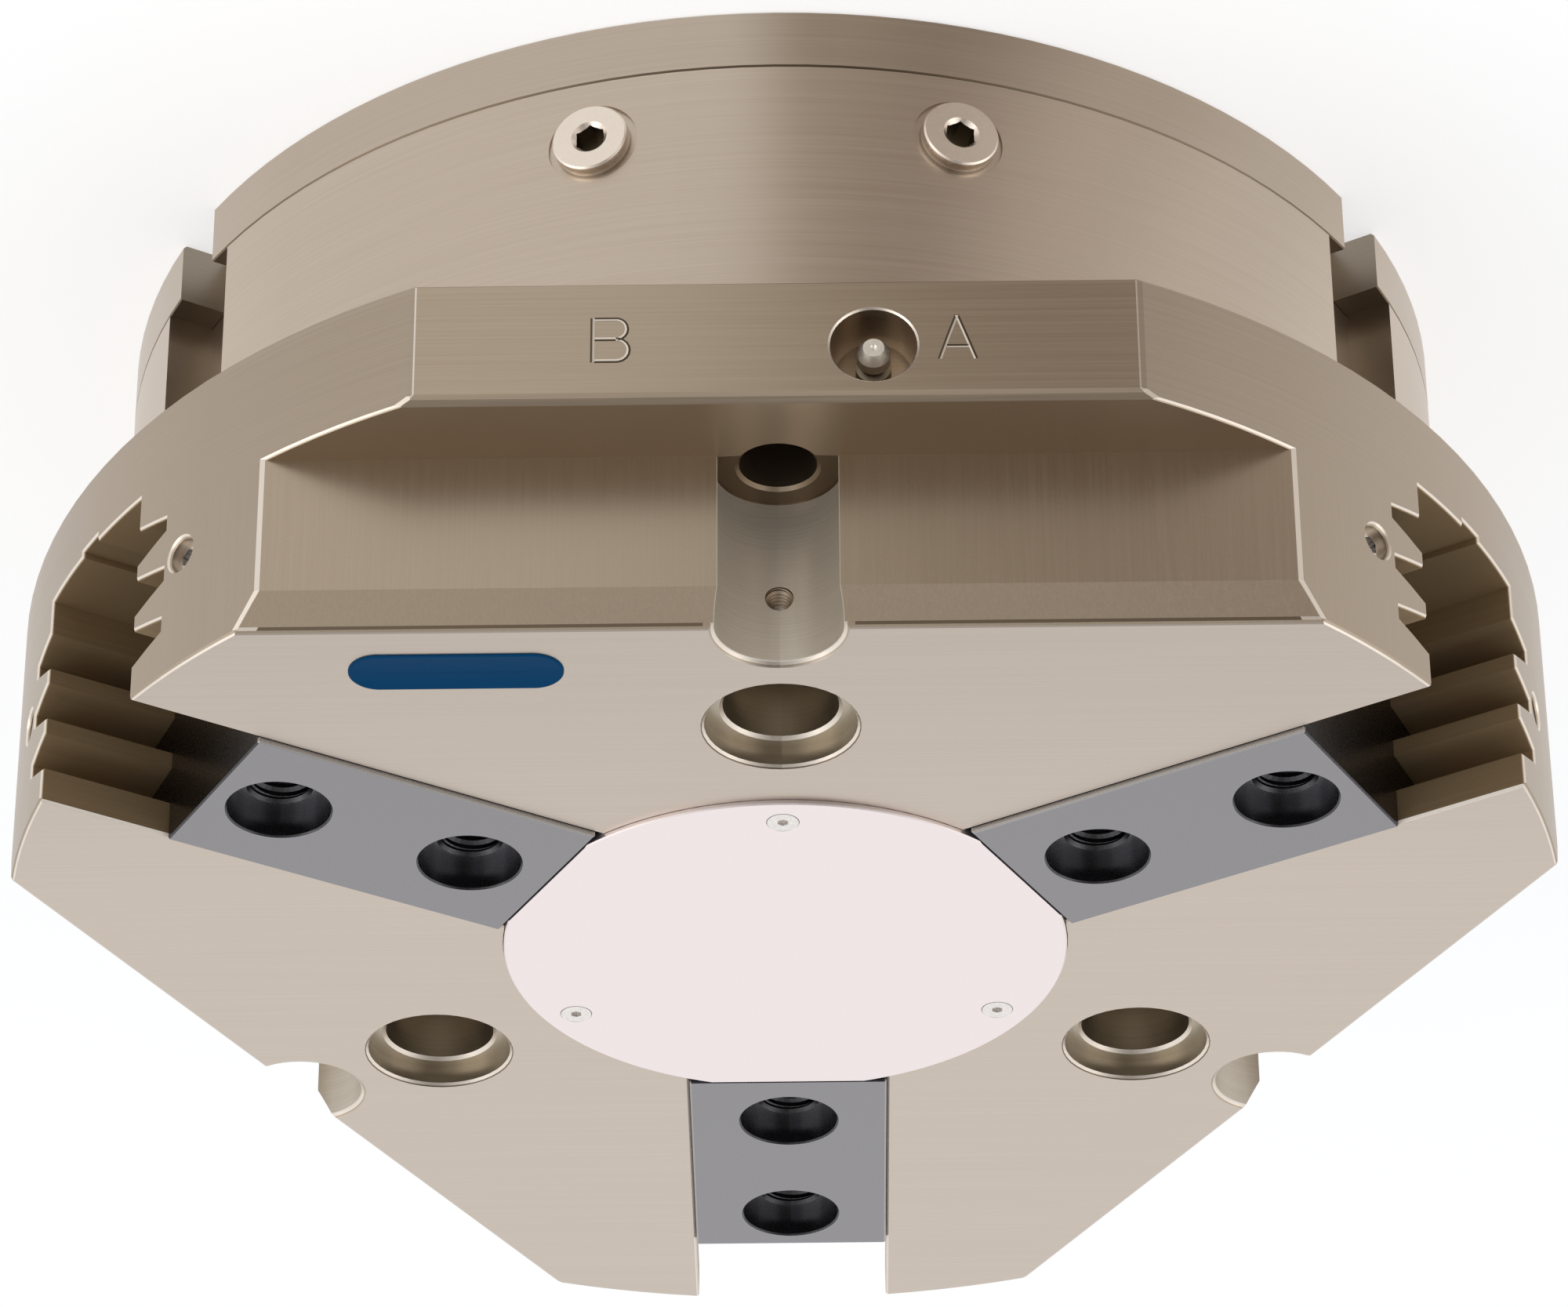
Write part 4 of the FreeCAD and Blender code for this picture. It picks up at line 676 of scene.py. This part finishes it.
# %% Cover finish
cover_metal, tree, shader = new_finish("pale_blasted_aluminium")
grain = streaks(tree, object_place(tree), (1800, 1800, 1800), 2.0)
wire(tree, shader, two_tones(tree, grain, (0.885, 0.81, 0.815), (0.91, 0.835, 0.84)),
     ranged(tree, grain, 0.38, 0.46), grain, 0.005 * MM)
shader.inputs["Metallic"].default_value = 1.0

# %% [markdown]
# ## Finishes on the solids
# The solids come from the frame by name. One list says which finish each name wears, so a change
# of finish is a change of one word, and a name that is missing stops the script at once.

# %% Give every solid its finish
FINISHES = {
    "housing": body_plating, "drum": body_plating, "back_cover": body_plating,
    "front_cover": cover_metal, "front_cover_screws": bright_steel,
    "jaw_rear": jaw_steel, "jaw_left": jaw_steel, "jaw_right": jaw_steel,
    "port_plug_a": nickel, "port_plug_b": nickel, "port_plug_washers": washer_metal,
    "grease_nipple": zinc, "side_set_screws": bright_steel,
    "back_cover_screws": black_oxide, "piston_screw": black_oxide, "hook_screw": black_oxide,
    "back_cover_seal": rubber, "base_port_seals": rubber, "rod_seal": rubber,
    "piston_seal": rubber, "piston_guide_ring": guide_plastic, "rod_bush": bush_metal,
    "flange_dowels": rod_steel, "hook_dowels": rod_steel, "piston_rod": rod_steel,
    "piston": piston_metal, "wedge_hook": hook_steel,
}
for name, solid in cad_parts.items():
    solid.data.materials.clear()
    solid.data.materials.append(FINISHES[name])
print("finished solids:", len(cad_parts))

# %% [markdown]
# ## Surfaces from numbers
# New pieces are sheets of points worked out with numpy. One array holds a whole grid, and
# neighbouring points become four cornered faces. Where a sheet closes on itself, its first
# column is used again as the last. Such pieces could be modelled by hand, but from numbers they
# get their exact size and place at once.

# %% Grid to mesh
def sheet_of(name, points, finish, body, wrap_columns=False, sharp=False):
    """A mesh whose vertices are a grid of points in metres and whose faces join neighbours."""
    rows, columns = points.shape[:2]
    index = np.arange(rows * columns).reshape(rows, columns)
    if wrap_columns:
        index = np.hstack([index, index[:, :1]])
    quads = np.stack([index[:-1, :-1], index[1:, :-1], index[1:, 1:], index[:-1, 1:]], axis=-1)
    mesh = bpy.data.meshes.new(name)
    mesh.from_pydata(points.reshape(-1, 3).tolist(), [], quads.reshape(-1, 4).tolist())
    mesh.polygons.foreach_set("use_smooth", np.full(len(mesh.polygons), not sharp))
    mesh.materials.append(finish)
    piece = bpy.data.objects.new(name, mesh)
    scene.collection.objects.link(piece)
    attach(piece, body)
    print(name, "faces:", len(mesh.polygons))
    return piece

# %% [markdown]
# ## Plate on the face
# A small pill shaped plate lies on the jaw side face. Its outline is all points at one distance
# from a short straight line, so every ring of the plate is the same line with a smaller distance.
# A bevelled curve would give the same outline, but rings also give the low field inside the rim.

# %% Plate on the face
def pill_ring(half_line, radius, count):
    """Points at one distance from a line: two half circles joined by straight runs."""
    angle = np.linspace(0, 2 * np.pi, count, endpoint=False)
    side = np.sign(np.cos(angle)) * half_line
    return np.stack([side + radius * np.cos(angle), radius * np.sin(angle)], axis=-1)


PLATE_CENTRE = np.array((89.9, -153.85)) * MM
PLATE_LINE = 21.4
PLATE_RADIUS = 8.6
PLATE_TOP = 194.55
PLATE_UNDER = 193.95
PLATE_CORE = 0.02
PLATE_BREAK = 0.25
RIM_FOOT = 1.0
RIM_WIDTH = 0.8
FIELD_DEPTH = 0.08
rings = [(PLATE_CORE, PLATE_TOP - FIELD_DEPTH), (PLATE_RADIUS - RIM_FOOT, PLATE_TOP - FIELD_DEPTH),
         (PLATE_RADIUS - RIM_WIDTH, PLATE_TOP), (PLATE_RADIUS - PLATE_BREAK, PLATE_TOP),
         (PLATE_RADIUS, PLATE_TOP - PLATE_BREAK), (PLATE_RADIUS, PLATE_UNDER),
         (PLATE_CORE, PLATE_UNDER)]
plate = []
for radius, level in rings:
    outline = pill_ring(PLATE_LINE, radius, 96) * MM + PLATE_CENTRE
    plate.append(np.column_stack([outline, np.full(len(outline), level * MM)]))
sheet_of("face_plate", np.array(plate), badge_enamel, "body", wrap_columns=True)

# %% [markdown]
# ## Screw threads
# Real threaded holes show their ridges, and bumps in a material would only hint at them. A thread
# is a small triangle carried along a helix just inside the hole's wall. It shrinks to nothing over
# most of its first and last turn, as a tapped thread does, and that also closes both of its ends.

# %% Thread
# The ridge's section: outwards from the hole's wall, in heights, and along the axis, in pitches.
RIDGE = np.array([(0.15, -0.46), (-1.0, -0.07), (-1.0, 0.07), (0.15, 0.46)])
RUN_OUT = 0.8


def thread(centre, axis, radius, pitch, height, length, per_turn=28):
    """A ridge on a helix: the angle grows evenly and the point moves one pitch a turn."""
    axis = np.array(axis, float) / np.linalg.norm(axis)
    side = np.cross(axis, (0.0, 0.0, 1.0)) if abs(axis[2]) < 0.9 else np.array((1.0, 0, 0))
    side = side / np.linalg.norm(side)
    other = np.cross(axis, side)
    turns = length / pitch
    t = np.linspace(0, turns, int(turns * per_turn) + 1)
    angle = 2 * np.pi * t
    out = np.cos(angle)[:, None] * side + np.sin(angle)[:, None] * other
    fade = np.clip(np.minimum(t, turns - t) / RUN_OUT, 0.0, 1.0)
    inwards = radius + RIDGE[None, :, 0] * height * fade[:, None]
    along = (t * pitch)[:, None] + RIDGE[None, :, 1] * pitch * fade[:, None]
    points = inwards[..., None] * out[:, None, :] + along[..., None] * axis
    return (points + np.array(centre, float)) * MM


# %% Threads of the jaws
JAW_HOLES = (("near", 105.4), ("far", 166.8))
JAW_THREAD_START = (0, 0, 150)
JAW_THREAD = {"radius": 8.75, "pitch": 2.5, "height": 1.1, "length": 36}


def heading(degrees):
    """The level direction at an angle around the part's axis."""
    return np.array((math.cos(math.radians(degrees)), math.sin(math.radians(degrees)), 0.0))


for jaw, degrees in JAW_TURNS.items():
    for place, distance in JAW_HOLES:
        ridge = thread(heading(degrees) * distance + JAW_THREAD_START, (0, 0, 1), **JAW_THREAD)
        sheet_of(f"jaw_{jaw}_thread_{place}", ridge, jaw_steel, f"{jaw}_jaw",
                 wrap_columns=True, sharp=True)

# %% Threads of the eye bolt holes in the screw pockets
EYE_START = 141.0
EYE_LEVEL = (0, 0, 172)
EYE_THREAD = {"radius": 4.0, "pitch": 1.6, "height": 0.8, "length": 13.5}
for number, degrees in enumerate(LOBES, start=1):
    outward = heading(degrees)
    ridge = thread(outward * EYE_START + EYE_LEVEL, outward, **EYE_THREAD)
    sheet_of(f"eye_thread_{number}", ridge, body_plating, "body",
             wrap_columns=True, sharp=True)

# %% [markdown]
# ## Engraved letters
# Beside the nipple two letters mark the air ports: A and B. An engraver's cutter leaves a groove
# with a V section. A groove can't be cut into a ready made solid here, so each stroke is a thin
# band on the surface with a V section of its own, made deeper by its bumps. One flank lies in
# shade and is dark, and the other catches the light.

# %% Letter finish
engraving, tree, shader = new_finish("engraved_groove")
across = part_of(tree, add(tree, "TexCoord").outputs["UV"], "Y")
centred = add(tree, "Math", {0: across, 1: 0.5}, operation="SUBTRACT").outputs[0]
height = add(tree, "Math", {0: centred}, operation="ABSOLUTE").outputs[0]
lines = streaks(tree, object_place(tree), (900, 900, 900))
tone = two_tones(tree, across, (0.10, 0.075, 0.05), (0.85, 0.78, 0.68), 0.42, 0.62)
wire(tree, shader, tone, ranged(tree, lines, 0.3, 0.42), height, 0.6 * MM)
shader.inputs["Metallic"].default_value = 0.85

# %% Strokes
LETTER_FLAT = 206.5
LETTER_TOP = 111.9
LETTER_HIGH = 15.0
LETTER_WIDE = 10.3
GROOVE_WIDE = 1.15
GROOVE_LIP = 0.05
LETTER_LIFT = 0.008


def stroke(path, lift):
    """A band along a path: its two edges lie half a width to either side and above its middle."""
    path = np.array(path, float)
    step = np.gradient(path, axis=0)
    step = step / np.linalg.norm(step, axis=1)[:, None]
    side = np.stack([-step[:, 1], step[:, 0]], axis=-1) * GROOVE_WIDE / 2
    lines = np.stack([path + side, path, path - side], axis=1)
    heights = np.tile((lift + GROOVE_LIP, lift, lift + GROOVE_LIP), (len(path), 1))
    return np.concatenate([lines, heights[..., None]], axis=-1)


def arc(centre, radii, start, stop, count=9):
    """Points on part of an ellipse, in degrees."""
    angle = np.radians(np.linspace(start, stop, count))
    return np.stack([np.cos(angle), np.sin(angle)], axis=-1) * radii + centre


def letter(name, centre_x, strokes):
    """Strokes drawn as seen in the picture and laid on the front flat, each a piece of its own."""
    for number, path in enumerate(strokes, start=1):
        band = stroke(path, LETTER_LIFT * number)
        x = centre_x - (band[..., 0] - LETTER_WIDE / 2)
        y = -(LETTER_FLAT + band[..., 2])
        z = LETTER_TOP + LETTER_HIGH - band[..., 1]
        points = np.stack([x, y, z], axis=-1) * MM
        piece = sheet_of(f"{name}_stroke_{number}", points, engraving, "body")
        layer = piece.data.uv_layers.new(name="band")
        rows = len(points)
        u = np.repeat(np.linspace(0, 1, rows), 3)
        v = np.tile((0.0, 0.5, 1.0), rows)
        corner = np.zeros(len(piece.data.loops), int)
        piece.data.loops.foreach_get("vertex_index", corner)
        layer.data.foreach_set("uv", np.stack([u[corner], v[corner]], axis=-1).ravel())


letter("port_letter_b", 46.1, [
    [(0.3, 0.0), (0.3, 7.5), (0.3, 15.0)],
    np.vstack([[(0.9, 14.6), (7.0, 14.6)], arc((6.9, 11.2), (3.0, 3.4), 80, -80),
               [(6.8, 7.8), (0.9, 7.8)]]),
    np.vstack([[(6.8, 7.8)], arc((7.0, 4.1), (3.4, 3.7), 80, -80), [(6.8, 0.4), (0.9, 0.4)]]),
])
letter("port_letter_a", -50.1, [
    [(0.2, 0.0), (2.6, 7.5), (5.1, 14.8)],
    [(5.2, 14.8), (7.7, 7.5), (10.2, 0.0)],
    [(2.2, 4.3), (5.0, 4.3), (8.3, 4.3)],
])

# %% [markdown]
# ## View
# The view stays plain, so that a colour on the part comes out as it is written.

# %% View settings and finish
scene.view_settings.view_transform = "Standard"
